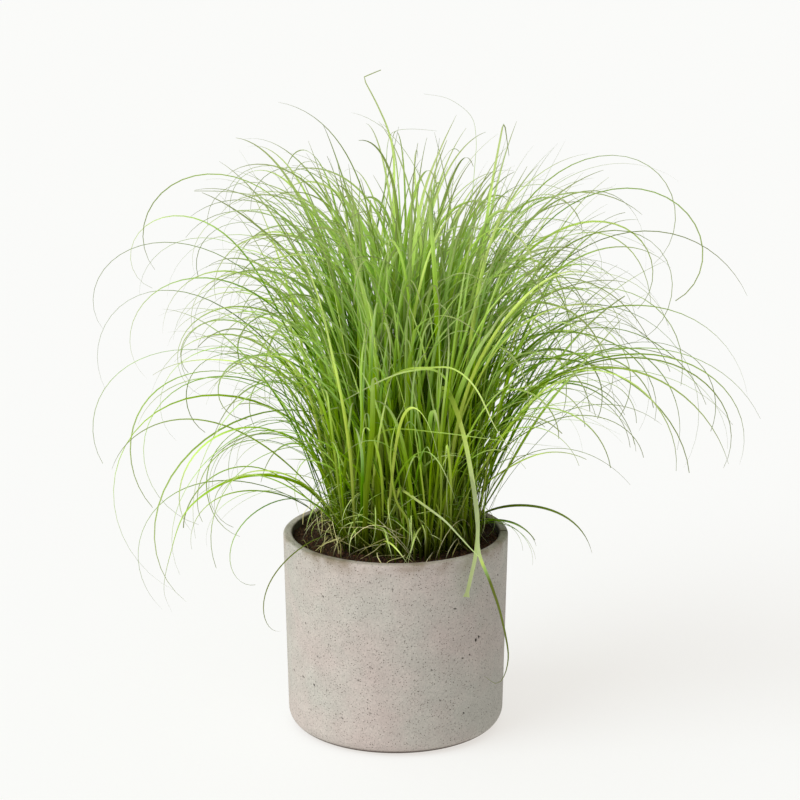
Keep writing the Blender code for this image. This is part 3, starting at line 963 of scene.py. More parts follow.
# %% The midribs handed to the blade's tree
for label, kind, value in (("along", "FLOAT", share), ("half", "FLOAT", half_width),
                           ("turned", "FLOAT", turned_angle), ("keel", "FLOAT_VECTOR", keel)):
    midribs = add(growth, "GeometryNodeStoreNamedAttribute", {
        "Geometry": midribs, "Name": label, "Value": value}, data_type=kind)
passed_on = {label: given[label] for label in ("Keel depth", "Thickness", "Blade")}
bladed = add(growth, "GeometryNodeGroup", {"Geometry": midribs, **passed_on}, node_tree=blade_tree)
add(growth, "NodeGroupOutput", {"Geometry": bladed})
print("the growth tree has", len(growth.nodes), "nodes")

# %% [markdown]
# ## The leaf's finish
# A living sedge leaf is thin and waxy. Its surface gives a soft, narrow sheen along the keel, light comes
# through it as a brighter yellow-green, and it pales towards the folded foot and dries out at the tip.
# The blades carry what the shader needs: how far along and across the leaf a point lies, the leaf's own
# shade, and how young it is there. At 1 it is young and pale, at 0 full green, towards -2 old and olive,
# and towards 2 it has lost its green and is nearly white. Along each leaf the shader also paints light
# and shade: darker at the foot, brighter and paler higher up, with a faint painted highlight on the
# edges. Only two things follow the place itself: a faint mottle, and a dark olive-brown near the soil,
# which is partly the old sheaths' colour and partly painted shade at the tuft's foot.

# %% Leaf materials
# Dark olive-brown low on the leaves near the soil: partly the old sheaths' colour, partly painted shade at
# the tuft's foot
sheath_and_shade_brown = "#3E3A16"
sheath_and_shade_height = (0.026, 0.006)
vein_rate = 14.0
mottle_scale = 60.0


def leaf_material(name, dark, light, pale, old, foot, lit_pale, tip, white, through, glow):
    """A leaf's finish: colours for dark, light, young and old leaves, from foot to tip with painted light
    and shade, and for its glow.
    """
    material, tree = empty_material(name)
    value = {}
    for field in ("along", "across", "shade", "young"):
        value[field] = add(tree, "ShaderNodeAttribute", attribute_name=field).outputs["Fac"]
    place = add(tree, "ShaderNodeTexCoord").outputs["Object"]
    height = add(tree, "ShaderNodeSeparateXYZ", {0: place}).outputs["Z"]
    off_keel = add(tree, "ShaderNodeMath", {0: value["across"]}, operation="ABSOLUTE")

    # Where each colour lies: what it follows, where it sets in, where it is full, and how strong it gets
    amount = {}
    # The edge share pales the leaf's edges: a painted highlight.
    # The light share turns the upper part of each leaf paler and greyer: painted light.
    for label, follows, start, full, most in (
            ("edge_highlight", off_keel, 0.6, 1.0, 0.1), ("foot", value["along"], 0.22, 0.0, 0.75),
            ("light", value["along"], 0.52, 0.92, 0.8), ("tip", value["along"], 0.72, 1.0, 0.8),
            ("low", height, soil_top + sheath_and_shade_height[0], soil_top + sheath_and_shade_height[1], 0.8),
            ("sheath_and_shade", value["along"], 0.22, 0.12, 1.0)):
        amount[label] = add(tree, "ShaderNodeMapRange", {
            "Value": follows, "From Min": start, "From Max": full, "To Max": most})
    age = add(tree, "ShaderNodeMath", {0: value["young"], 1: -1.0}, operation="MULTIPLY")
    spent = add(tree, "ShaderNodeMath", {0: value["young"], 1: 1.0}, operation="SUBTRACT", use_clamp=True)
    # Near the soil and low on the leaf: the old sheaths' brown together with painted shade at the tuft's
    # foot.
    sheath_and_shade = add(tree, "ShaderNodeMath", {0: amount["low"], 1: amount["sheath_and_shade"]}, operation="MULTIPLY")
    colour = linear(dark)
    for how_much, over in (
            (value["shade"], light), (value["young"], pale), (amount["edge_highlight"], pale), (amount["foot"], foot),
            (amount["light"], lit_pale), (age, old), (amount["tip"], tip), (spent, white),
            (sheath_and_shade, sheath_and_shade_brown)):
        colour = add(tree, "ShaderNodeMix", {
            0: how_much, 6: colour, 7: linear(over)}, data_type="RGBA").outputs[2]

    # How bright it is: fine veins, the mottle, and painted shade low on the leaf that gives way to painted
    # light further up
    veins = add(tree, "ShaderNodeMath", {0: value["across"], 1: vein_rate}, operation="MULTIPLY")
    stripes = add(tree, "ShaderNodeMath", {0: veins}, operation="SINE")
    mottle = add(tree, "ShaderNodeTexNoise", {"Vector": place, "Scale": mottle_scale, "Detail": 2.0})
    brightness = 1.0
    for follows, start, end, least, most in (
            (stripes, -1.0, 1.0, 0.92, 1.08), (mottle, 0.0, 1.0, 0.82, 1.18),
            (value["along"], 0.05, 0.8, 0.42, 1.76)):
        factor = add(tree, "ShaderNodeMapRange", {
            "Value": follows, "From Min": start, "From Max": end, "To Min": least, "To Max": most})
        brightness = add(tree, "ShaderNodeMath", {0: brightness, 1: factor}, operation="MULTIPLY")
    coloured = add(tree, "ShaderNodeVectorMath", {0: colour, "Scale": brightness}, operation="SCALE")

    ridges = add(tree, "ShaderNodeBump", {"Height": stripes, "Strength": 0.25, "Distance": 0.0001})
    skin = add(tree, "ShaderNodeBsdfPrincipled", {
        "Base Color": coloured, "Roughness": 0.36, "Specular IOR Level": 0.04, "Normal": ridges})
    lit_through = add(tree, "ShaderNodeMix", {0: 0.35, 6: coloured, 7: linear(through)}, data_type="RGBA")
    behind = add(tree, "ShaderNodeBsdfTranslucent", {"Color": lit_through.outputs[2]})
    mixed = add(tree, "ShaderNodeMixShader", {0: glow, 1: skin, 2: behind})
    add(tree, "ShaderNodeOutputMaterial", {"Surface": mixed})
    return material


# Living leaf: waxy and thin, so it shines a little and glows where the light stands behind it
living_leaf = leaf_material(
    "living_sedge_leaf", dark="#649A00", light="#ACCE00", pale="#CCD962", old="#6C7430", foot="#9CA600",
    lit_pale="#CCD4AA", tip="#70744C", white="#BCC49C", through="#B8E000", glow=0.44)
# Dead leaf and root: no wax and no green left, only matt straw
dry_leaf = leaf_material(
    "dry_sedge_thread", dark="#96923E", light="#BCB670", pale="#DCD8A4", old="#7E7440", foot="#8A7E48",
    lit_pale="#BCB878", tip="#B4AA78", white="#E4E0C0", through="#C8C070", glow=0.2)
print("leaf materials made")

# %% Grow the shoots
kept_attributes = {
    "along", "across", "shade", "young", "position", "material_index", "sharp_face", "sharp_edge"}


def point_mesh(name, rows):
    """Bare points, one for each leaf, that carry the leaf's values as attributes."""
    mesh = bpy.data.meshes.new(name)
    mesh.from_pydata([row.place for row in rows], [], [])
    for field in rows[0]._fields[1:]:
        values = mesh.attributes.new(field, "FLOAT", "POINT")
        values.data.foreach_set("value", [getattr(row, field) for row in rows])
    return mesh


def finished_leaves(piece):
    """Smooth shading along the leaves, with the keel and the edges left sharp."""
    for attribute in [one.name for one in piece.data.attributes]:
        if attribute not in kept_attributes and not attribute.startswith("."):
            piece.data.attributes.remove(piece.data.attributes[attribute])
    piece.data.shade_smooth()
    piece.data.set_sharp_from_angle(angle=math.radians(38))
    return piece


leaf_pieces = {}
for name, rows in zip(shoot_names, tuft):
    piece = made_by(growth, f"{name}_leaves", point_mesh(name, rows), {"Blade": living_leaf})
    leaf_pieces[name] = finished_leaves(piece)
face_count = sum(len(piece.data.polygons) for piece in leaf_pieces.values())
print(len(leaf_pieces), "shoots grown with", face_count, "faces")

# %% [markdown]
# ## The leaves that anyone would recognise
# Fifteen leaves stand out in the photograph, such as one whose tip is folded back at the very top, two that
# arch across the front, and three that reach the rim. They follow no rule, so each is a smooth line through
# a few places. A place is a pixel and a depth in front of (negative) or behind the pot's middle, in
# millimetres. The leaf grows from the foot of the shoot that it belongs to. Its width is in millimetres
# too, and how young it is may change from foot to tip. The blade's tree makes leaves of the lines.

# %% Places along the leaves that stand out
Wayward = namedtuple("Wayward", "shoot way width tip taper roll young shade", defaults=(0.7,))

wayward_leaves = {
    "folded_back_at_the_top": Wayward("shoot_27", [
        (396, 330, 6), (394, 209, 0), (394, 160, -2), (388.5, 131, -4), (377, 104, -4), (366, 83, -4),
        (364, 77.5, -4.5), (370, 74.5, -5), (381, 70, -6)], 2.6, 0.25, 4, -30, 0.25),
    "arched_at_the_top": Wayward("shoot_28", [
        (450, 330, 10), (469, 218, 8), (475, 163, 5), (476, 138, 4), (471, 116, 3), (449, 99, 2),
        (424, 94, 0)], 1.9, 0.15, 2.5, 60, 0.0),
    "widest": Wayward("shoot_29", [
        (408, 330, -24), (414, 251, -26), (424, 193, -25), (441, 148, -22), (456.5, 115, -20)],
        4.8, 0.04, 4, -40, 0.35),
    "folded_at_the_right": Wayward("shoot_30", [
        (460, 330, -10), (482, 245, -12), (493, 179, -11), (502.5, 128, -10), (503.5, 125.5, -10.5),
        (505, 127, -11), (509, 156, -13)], 3.2, 0.15, 6, -40, 0.3),
    "bent_at_the_top": Wayward("shoot_31", [
        (384, 250, 2), (386, 170, 0), (388, 142, -2), (394, 131.5, -4), (412, 129, -6), (437, 131, -10)],
        2.2, 0.2, 3, 55, 0.3),
    "frayed_at_the_left": Wayward("shoot_04", [
        (345, 350, -16), (310, 260, -14), (286, 214, -10), (261, 198, -8), (230, 192, -8), (194, 191, -8)],
        1.9, 0.55, 3, 60, 0.0),
    "across_the_front": Wayward("shoot_44", [
        (394, 480, -30), (385, 420, -46), (386, 385, -62), (404, 370, -76), (430, 367.5, -82),
        (454, 369, -86), (476, 388.5, -88), (498, 432, -88), (526, 469, -86)],
        2.5, 0.12, 3, 35, (0.3, 0.5, 1.1)),
    "across_the_front_to_the_left": Wayward("shoot_53", [
        (448, 440, -40), (449, 390, -60), (436, 371, -72), (410, 371, -78), (383, 380, -80),
        (339, 403, -80)], 2.3, 0.15, 3, 40, 0.6),
    "over_the_rim_with_a_cut_end": Wayward("shoot_30", [
        (428, 450, -24), (436, 400, -40), (444, 388, -52), (453, 402, -62), (466, 445, -70), (477, 514, -70),
        (476, 551, -64), (470, 580, -66), (466, 597, -67)], 2.7, 1.8, 400, -15, (0.2, 0.2, 0.6, 1.8, 1.35)),
    "over_the_rim_with_a_curled_end": Wayward("shoot_02", [
        (430, 460, -30), (438, 402, -52), (450, 396, -62), (462, 430, -68), (472, 480, -71), (477, 520, -70),
        (479, 553, -66), (490, 582, -62), (500, 612, -57), (507.5, 647, -52), (507.5, 664, -52),
        (503, 678, -53), (496, 683.5, -54), (484, 676, -60)], 3.0, 0.06, 4, -25,
        (0.2, 0.1, 0.0, 0.0, 0.0, 0.1, 0.4, 1.0, 1.6, 1.9, 1.9, 1.9, -1.2, -2.0, -2.0, -1.5, -1.0), 0.05),
    "lying_on_the_rim": Wayward("shoot_46", [
        (398, 493, -46), (405, 492, -51), (418, 501, -56), (432, 511, -59), (446, 522, -61),
        (460, 537, -64), (472, 550, -66), (479, 557, -67.5)], 1.9, 0.3, 3, -30, (0.2, 0.3, 1.2, 2.0, 1.9)),
    "thin_and_upright_in_front": Wayward("shoot_47", [
        (408, 524, -52), (396, 500, -56), (391, 470, -60), (391, 446, -62), (396, 423, -64),
        (405, 401, -66), (404, 375, -68)], 1.6, 0.25, 3, 45, 0.9),
    "thin_and_straight_in_front": Wayward("shoot_51", [
        (424, 500, -54), (417.6, 449, -60), (415, 429, -62), (416, 388, -64), (412.6, 371, -66)],
        1.5, 0.25, 3, 45, 0.8),
    "long_and_level_to_the_right": Wayward("shoot_43", [
        (366, 470, -44), (374, 440, -56), (392, 429, -62), (436, 432, -70), (490, 439, -74),
        (532, 444, -76), (562, 447, -76)], 2.4, 0.12, 3, 50, 0.5),
    "level_to_the_left": Wayward("shoot_14", [
        (326, 508, -4), (300, 484, -8), (262, 475, -12), (222, 484, -16), (186, 512, -20),
        (170, 556, -22), (164, 590, -22), (172, 612, -22)], 2.4, 0.1, 3, 55, (0.2, 0.0, -0.6)),
}

# %% A smooth line through the places
line_stations = 90
marks_per_place = 30
root_depth = 0.003
upright_foot = 0.006


def smooth_way(places):
    """Evenly spaced points on a smooth line through the places."""
    places = np.array(places)
    padded = np.concatenate([places[:1], places, places[-1:]])
    ends = np.linspace(0, len(places) - 1, marks_per_place * len(places))
    points = []
    for spot in ends:
        leg = min(int(spot), len(places) - 2)
        t = spot - leg
        a, b, c, d = padded[leg:leg + 4]
        points.append(0.5 * (2 * b + (c - a) * t + (2 * a - 5 * b + 4 * c - d) * t ** 2
                             + (3 * b - a - 3 * c + d) * t ** 3))
    points = np.array(points)
    reach = np.concatenate([[0], np.cumsum(np.linalg.norm(np.diff(points, axis=0), axis=1))])
    marks = np.linspace(0, reach[-1], line_stations)
    return np.stack([np.interp(marks, reach, points[:, axis]) for axis in range(3)], axis=1)


def wayward_mesh(name, leaf):
    """The leaf's midrib as a line of edges that carries what the blade's tree reads."""
    base = bases[shoot_names.index(leaf.shoot)]
    places = [(base[0], base[1], soil_top - root_depth), (base[0], base[1], soil_top + upright_foot)]
    places += [tuple(at_depth(x, y, depth / 1000)) for x, y, depth in leaf.way]
    points = smooth_way(places)
    ahead = np.gradient(points, axis=0)
    ahead /= np.linalg.norm(ahead, axis=1, keepdims=True)
    away = np.array([(0.0, 1.0, 0.0)] * line_stations)
    keel = away - (away * ahead).sum(axis=1, keepdims=True) * ahead
    keel /= np.linalg.norm(keel, axis=1, keepdims=True)
    along = np.linspace(0, 1, line_stations)
    opened = main_fold + (1 - main_fold) * np.minimum(along / open_share, 1)
    half = leaf.width / 2000 * opened * (leaf.tip + (1 - leaf.tip) * (1 - along ** leaf.taper))
    mesh = bpy.data.meshes.new(name)
    mesh.from_pydata(points.tolist(), [(i, i + 1) for i in range(line_stations - 1)], [])
    turned = np.radians(leaf.roll) * (0.6 + 0.8 * along)
    ages = np.atleast_1d(leaf.young)
    young = np.interp(along, np.linspace(0, 1, len(ages)), ages)
    for label, values in (("along", along), ("half", half), ("turned", turned),
                          ("shade", np.full(line_stations, leaf.shade)), ("young", young)):
        mesh.attributes.new(label, "FLOAT", "POINT").data.foreach_set("value", values)
    mesh.attributes.new("keel", "FLOAT_VECTOR", "POINT").data.foreach_set("vector", keel.ravel())
    return mesh


# %% Make them and join each to its shoot


def joined(piece, other):
    """The other object's mesh added to the piece's."""
    pair = [piece, other]
    with bpy.context.temp_override(active_object=piece, object=piece, selected_editable_objects=pair):
        bpy.ops.object.join()


for label, leaf in wayward_leaves.items():
    blade = finished_leaves(made_by(blade_tree, label, wayward_mesh(label, leaf), {"Blade": living_leaf}))
    joined(leaf_pieces[leaf.shoot], blade)
print(len(wayward_leaves), "leaves drawn by hand")

# %% [markdown]
# ## The pot
# The real pot is cast in a mould from cement and fine sand, so it is a plain cylinder with rounded edges
# whose skin shows the small air holes of the casting. A Screw modifier turns its profile, as a potter would
# draw it. The mesh is fine enough, at about one millimetre, for the larger holes to be real dents.

# %% The pot's profile
concrete_grid = 0.00105
foot_rounding = 0.011
inner_rounding = 0.008
pot_floor = 0.010
rim_rounding = 0.0015
inner_edge_rounding = 0.0009
below_soil = 0.004
hidden_grid = 0.012
hidden_wall_grid = 0.02


def arc(centre_r, centre_z, radius, start, end, steps):
    """Points of a round corner in a turned profile, from one angle to another, in degrees."""
    angles = np.radians(np.linspace(start, end, steps + 1))
    return [(centre_r + radius * math.cos(angle), centre_z + radius * math.sin(angle)) for angle in angles]


def straight(start, end, spacing):
    """Points between two points of a profile, without the two."""
    count = max(1, round(math.dist(start, end) / spacing))
    return [tuple(np.array(start) + (np.array(end) - start) * step / count) for step in range(1, count)]


def wall_radius(height):
    """Outer radius of the pot above its rounded foot."""
    return foot_radius + (rim_radius - foot_radius) * height / pot_height


def profile_through(start, parts):
    """A profile from a point through parts, each given after the spacing of the line that leads there."""
    profile = [start]
    for spacing, part in parts:
        profile += [*straight(profile[-1], part[0], spacing), *part]
    return profile


inner_rim = rim_radius - wall
inner_foot = foot_radius - wall
pot_profile = profile_through((0, pot_floor), [
    (hidden_grid, arc(inner_foot - inner_rounding, pot_floor + inner_rounding, inner_rounding, -90, 0, 5)),
    (hidden_wall_grid, [(inner_rim, soil_top - below_soil)]),
    (concrete_grid, arc(inner_rim + inner_edge_rounding, pot_height - inner_edge_rounding,
                        inner_edge_rounding, 180, 90, 4)),
    (concrete_grid, arc(rim_radius - rim_rounding, pot_height - rim_rounding, rim_rounding, 90, 0, 5)),
    (concrete_grid, arc(wall_radius(foot_rounding) - foot_rounding, foot_rounding,
                        foot_rounding, 0, -90, 14)),
    (hidden_grid, [(0, 0)]),
])
print(len(pot_profile), "points in the pot's profile")

# %% Turn it


def turned_mesh(name, profile, steps):
    """The plain mesh of a profile turned round the pot's axis."""
    mesh = bpy.data.meshes.new(name)
    mesh.from_pydata([(radius, 0, height) for radius, height in profile],
                     [(i, i + 1) for i in range(len(profile) - 1)], [])
    turning = bpy.data.objects.new(name, mesh)
    bpy.context.scene.collection.objects.link(turning)
    screw = turning.modifiers.new("turn", "SCREW")
    screw.steps = steps
    screw.render_steps = steps
    screw.use_merge_vertices = True
    screw.merge_threshold = 0.00001
    bpy.context.view_layer.update()
    made = bpy.data.meshes.new_from_object(turning.evaluated_get(bpy.context.evaluated_depsgraph_get()))
    bpy.data.objects.remove(turning)
    bpy.data.meshes.remove(mesh)
    return made


pot_steps = round(2 * math.pi * rim_radius / concrete_grid)
plain_pot = turned_mesh("plain_pot", pot_profile, pot_steps)
print(len(plain_pot.polygons), "faces in the turned pot")

# %% [markdown]
# Air holes repeat over a surface, so a node tree dents them: it looks up the nearest hole for each point of
# the pot and pushes the point in where it lies inside the hole's radius. The few large holes of the
# photograph stand where it shows them, and the others are scattered all round. The mark that the tree
# leaves on the points lets the concrete's material paint shade into the bottoms.

# %% Where the air holes are


def on_pot(pixel_x, pixel_y):
    """The place on the pot's outer side that is seen at a pixel."""
    line = sight_line(pixel_x, pixel_y)
    height = pot_height / 2
    for _ in range(8):
        radius = wall_radius(height)
        a = line.x ** 2 + line.y ** 2
        b = eye.x * line.x + eye.y * line.y
        c = eye.x ** 2 + eye.y ** 2 - radius ** 2
        place = eye + line * ((-b - math.sqrt(b * b - a * c)) / a)
        height = place.z
    return place


# The pixel of each large hole, and its radius in millimetres
large_holes = {
    (476, 640): 1.5, (479, 637): 1.3, (455, 609): 1.1, (463, 658): 1.0, (358, 680): 1.0, (314, 685): 1.2,
    (294, 670): 1.0, (393, 589): 0.9, (355, 593): 0.8, (470, 655): 0.8, (440, 700): 0.8}
scattered_holes = 60
Hole = namedtuple("Hole", "place radius")
hole_chance = random.Random(3)
holes = [Hole(tuple(on_pot(*pixel)), size / 1000) for pixel, size in large_holes.items()]
for _ in range(scattered_holes):
    turn = hole_chance.uniform(0, 2 * math.pi)
    height = hole_chance.uniform(0.004, pot_height - 0.002)
    radius = wall_radius(height)
    place = (radius * math.cos(turn), radius * math.sin(turn), height)
    holes.append(Hole(place, hole_chance.uniform(0.0005, 0.0009)))
print(len(holes), "air holes")

# %% The tree that dents them
dents, given = new_tree("air_holes", [
    ("Holes", "NodeSocketObject", None),
    ("Depth", "NodeSocketFloat", 0.0007),
    ("Concrete", "NodeSocketMaterial", None),
])
hole_points = add(dents, "GeometryNodeObjectInfo", {"Object": given["Holes"]}).outputs["Geometry"]
nearest = add(dents, "GeometryNodeSampleNearest", {"Geometry": hole_points})
here = add(dents, "GeometryNodeInputPosition")
hole_size = add(dents, "GeometryNodeInputNamedAttribute", {"Name": "radius"}, data_type="FLOAT")
hole_place, hole_radius = (
    add(dents, "GeometryNodeSampleIndex", {
        "Geometry": hole_points, "Value": value, "Index": nearest}, data_type=kind)
    for value, kind in ((here, "FLOAT_VECTOR"), (hole_size, "FLOAT")))
away = add(dents, "ShaderNodeVectorMath", {0: here, 1: hole_place}, operation="DISTANCE").outputs["Value"]
mark = add(dents, "ShaderNodeMapRange", {
    "Value": away, "From Min": 0.0, "From Max": hole_radius, "To Min": 1.0, "To Max": 0.0},
    interpolation_type="SMOOTHSTEP")
marked = add(dents, "GeometryNodeStoreNamedAttribute", {
    "Geometry": given["Geometry"], "Name": "hole", "Value": mark}, data_type="FLOAT")
depth = add(dents, "ShaderNodeMath", {0: mark, 1: given["Depth"]}, operation="MULTIPLY")
inward = add(dents, "ShaderNodeMath", {0: depth, 1: -1.0}, operation="MULTIPLY")
outside = add(dents, "GeometryNodeInputNormal")
push = add(dents, "ShaderNodeVectorMath", {0: outside, "Scale": inward}, operation="SCALE")
dented = add(dents, "GeometryNodeSetPosition", {"Geometry": marked, "Offset": push})
cast = add(dents, "GeometryNodeSetMaterial", {"Geometry": dented, "Material": given["Concrete"]})
add(dents, "NodeGroupOutput", {"Geometry": cast})
print("the air holes' tree has", len(dents.nodes), "nodes")

# %% [markdown]
# ## Cast concrete
# Concrete is matt and never one colour. Slow clouds of warmer and greener grey come from how the mix
# settled and dried, sand gives it a fine grain, and countless pinholes show as dark specks. The specks are
# smaller than a millimetre, so they are drawn by a Voronoi pattern and not as dents. A brown trace of
# water runs along the rim.

# %% Concrete material
crack_place = -0.001
crack_wander = 0.0012
crack_width = 0.0017
crack_reach = 0.0045
stain_place = on_pot(413, 569)
stain_reach = 0.020
stain_height = 0.004
rim_band = 0.010


def concrete_material():
    """Grey cement with clouds, grain, pinholes, a damp trace along the rim, and a darker brown inner side.
    """
    material, tree = empty_material("cast_concrete")
    place = add(tree, "ShaderNodeTexCoord").outputs["Object"]
    side, depth, height = add(tree, "ShaderNodeSeparateXYZ", {0: place}).outputs
    noise = {}
    for label, size, detail, roughness in (
            ("clouds", 52, 4.0, 0.55), ("trace", 18, 5.0, 0.5), ("patches", 14, 3.0, 0.5),
            ("grain", 1.1, 2.0, 0.5)):
        noise[label] = add(tree, "ShaderNodeTexNoise", {
            "Vector": place, "Scale": 1 / (size * millimetre), "Detail": detail, "Roughness": roughness})

    # Warm clouds towards the middle, green-grey ones towards the sides
    clouds = add(tree, "ShaderNodeMapRange", {"Value": noise["clouds"], "From Min": 0.36, "From Max": 0.64})
    off_middle = add(tree, "ShaderNodeMath", {0: side}, operation="ABSOLUTE")
    to_the_sides = add(tree, "ShaderNodeMapRange", {
        "Value": off_middle, "From Min": 0.03, "From Max": rim_radius, "To Min": -0.15, "To Max": 0.45})
    cloudy = add(tree, "ShaderNodeMath", {0: clouds, 1: to_the_sides}, operation="ADD", use_clamp=True)
    tint = add(tree, "ShaderNodeMix", {
        0: cloudy, 6: linear("#BBAFA8"), 7: linear("#B4B1A8")}, data_type="RGBA").outputs[2]
    light = 1.0
    for label, least, most in (("patches", 0.86, 1.12), ("grain", 0.72, 1.26)):
        factor = add(tree, "ShaderNodeMapRange", {"Value": noise[label], "To Min": least, "To Max": most})
        light = add(tree, "ShaderNodeMath", {0: light, 1: factor}, operation="MULTIPLY")
    cement = add(tree, "ShaderNodeVectorMath", {0: tint, "Scale": light}, operation="SCALE")

    # Pinholes of three sizes: the cell in millimetres, the share of empty cells, the largest hole in a cell
    pinholes = 0.0
    for cell, empty, largest in ((0.9, 0.20, 0.38), (1.5, 0.45, 0.32), (4.2, 0.80, 0.15)):
        cells = add(tree, "ShaderNodeTexVoronoi", {"Vector": place, "Scale": 1 / (cell * millimetre)})
        chosen = add(tree, "ShaderNodeSeparateColor", {0: cells.outputs["Color"]})
        reach = add(tree, "ShaderNodeMapRange", {"Value": chosen, "From Min": empty, "To Max": largest})
        closeness = add(tree, "ShaderNodeMath", {
            0: reach, 1: cells.outputs["Distance"]}, operation="SUBTRACT")
        speck = add(tree, "ShaderNodeMapRange", {"Value": closeness, "From Max": 0.08})
        pinholes = add(tree, "ShaderNodeMath", {0: pinholes, 1: speck}, operation="MAXIMUM")
    shadow = add(tree, "ShaderNodeMath", {0: pinholes, 1: 0.85}, operation="MULTIPLY")

    # The hairline crack in the rim at the right, and painted shade in the bottoms of the air holes
    wander = add(tree, "ShaderNodeMapRange", {
        "Value": noise["grain"], "To Min": crack_place - crack_wander, "To Max": crack_place + crack_wander})
    from_crack = add(tree, "ShaderNodeMath", {0: depth, 1: wander}, operation="SUBTRACT")
    from_crack = add(tree, "ShaderNodeMath", {0: from_crack}, operation="ABSOLUTE")
    crack = add(tree, "ShaderNodeMapRange", {
        "Value": from_crack, "From Min": crack_width, "From Max": 0.3 * crack_width})
    for measure, limit in ((side, 0.0), (height, pot_height - crack_reach)):
        beyond = add(tree, "ShaderNodeMath", {0: measure, 1: limit}, operation="GREATER_THAN")
        crack = add(tree, "ShaderNodeMath", {0: crack, 1: beyond}, operation="MULTIPLY")
    hole = add(tree, "ShaderNodeAttribute", attribute_name="hole").outputs["Fac"]
    in_hole = add(tree, "ShaderNodeMapRange", {"Value": hole, "From Min": 0.05, "From Max": 0.5})
    crack_and_hole_shade = add(tree, "ShaderNodeMath", {0: in_hole, 1: crack}, operation="MAXIMUM")

    # The trace of water along the rim and the stain below it, then the inner side, darker brown
    near_rim = add(tree, "ShaderNodeMapRange", {
        "Value": height, "From Min": pot_height - rim_band, "From Max": pot_height})
    trace = add(tree, "ShaderNodeMapRange", {
        "Value": noise["trace"], "From Min": 0.45, "From Max": 0.66, "To Max": 0.75})
    along_rim = add(tree, "ShaderNodeMath", {0: near_rim, 1: trace}, operation="MULTIPLY")
    from_stain = add(tree, "ShaderNodeVectorMath", {0: place, 1: tuple(stain_place)}, operation="SUBTRACT")
    flattened = add(tree, "ShaderNodeVectorMath", {
        0: from_stain, 1: (1, 1, stain_reach / stain_height)}, operation="MULTIPLY")
    stain_away = add(tree, "ShaderNodeVectorMath", {0: flattened}, operation="LENGTH").outputs["Value"]
    stain_shape = add(tree, "ShaderNodeMapRange", {
        "Value": stain_away, "From Min": stain_reach, "From Max": 0.3 * stain_reach})
    blotches = add(tree, "ShaderNodeMapRange", {
        "Value": noise["patches"], "From Min": 0.4, "From Max": 0.6, "To Max": 0.45})
    stain = add(tree, "ShaderNodeMath", {0: stain_shape, 1: blotches}, operation="MULTIPLY")
    damp = add(tree, "ShaderNodeMath", {0: along_rim, 1: stain}, operation="MAXIMUM")
    flat_place = add(tree, "ShaderNodeCombineXYZ", {"X": side, "Y": depth})
    radius = add(tree, "ShaderNodeVectorMath", {0: flat_place}, operation="LENGTH").outputs["Value"]
    inside = add(tree, "ShaderNodeMapRange", {
        "Value": radius, "From Min": inner_rim + 0.0016, "From Max": inner_rim - 0.0004, "To Max": 0.9})
    colour = cement
    for how_much, over in ((shadow, "#4E483F"), (crack_and_hole_shade, "#2E2A24"), (damp, "#7A6B52"), (inside, "#3A2E22")):
        colour = add(tree, "ShaderNodeMix", {
            0: how_much, 6: colour, 7: linear(over)}, data_type="RGBA").outputs[2]

    hollow = add(tree, "ShaderNodeMath", {0: noise["grain"], 1: pinholes}, operation="SUBTRACT")
    skin = add(tree, "ShaderNodeBump", {"Height": hollow, "Strength": 0.5, "Distance": 0.00025})
    concrete = add(tree, "ShaderNodeBsdfPrincipled", {
        "Base Color": colour, "Roughness": 0.88, "Specular IOR Level": 0.25, "Normal": skin})
    add(tree, "ShaderNodeOutputMaterial", {"Surface": concrete})
    return material


# Cast concrete: matt all over, with slow clouds and dark specks that tell the eye it was poured
cast_concrete = concrete_material()
print("the concrete has", len(cast_concrete.node_tree.nodes), "nodes")

# %% Cast the pot
hole_object = bpy.data.objects.new("air_hole_points", point_mesh("air_hole_points", holes))
pot = made_by(dents, "cast_pot", plain_pot, {"Holes": hole_object, "Concrete": cast_concrete})
bpy.data.objects.remove(hole_object)
pot.data.shade_smooth()
print("the pot has", len(pot.data.polygons), "faces")

# %% [markdown]
# ## The soil
# Potting soil is peat and rotted bark: dark brown, matt, and lumpy at every size. The bed is turned like
# the pot and its top is raised and lowered by noise. On it lie loose crumbs, some four thousand small
# lumps that a node tree scatters, turns and squeezes at random, and dry threads of old leaves and roots.

# %% Soil and crumb material


def soil_material(name, dark, light, grain_mm):
    """Peat: dark and matt, with lighter brown lumps of the grain's size."""
    material, tree = empty_material(name)
    place = add(tree, "ShaderNodeTexCoord").outputs["Object"]
    lumps = add(tree, "ShaderNodeTexNoise", {
        "Vector": place, "Scale": 1 / (grain_mm * millimetre), "Detail": 6.0, "Roughness": 0.7})
    shades = add(tree, "ShaderNodeMapRange", {"Value": lumps, "From Min": 0.35, "From Max": 0.7})
    brown = add(tree, "ShaderNodeMix", {
        0: shades, 6: linear(dark), 7: linear(light)}, data_type="RGBA").outputs[2]
    rough = add(tree, "ShaderNodeBump", {"Height": lumps, "Strength": 0.8, "Distance": 0.0006})
    peat = add(tree, "ShaderNodeBsdfPrincipled", {
        "Base Color": brown, "Roughness": 0.95, "Specular IOR Level": 0.2, "Normal": rough})
    add(tree, "ShaderNodeOutputMaterial", {"Surface": peat})
    return material


# Damp peat: nearly black brown, so the pot reads as deep and the leaves' feet stand out
peat_soil = soil_material("damp_peat_soil", "#1E120A", "#4C3424", 3)
# Loose crumbs of peat: drier, so they are a lighter brown and catch the light one by one
peat_crumb = soil_material("loose_peat_crumb", "#2C1C11", "#6E4E36", 1.5)
print("soil materials made")

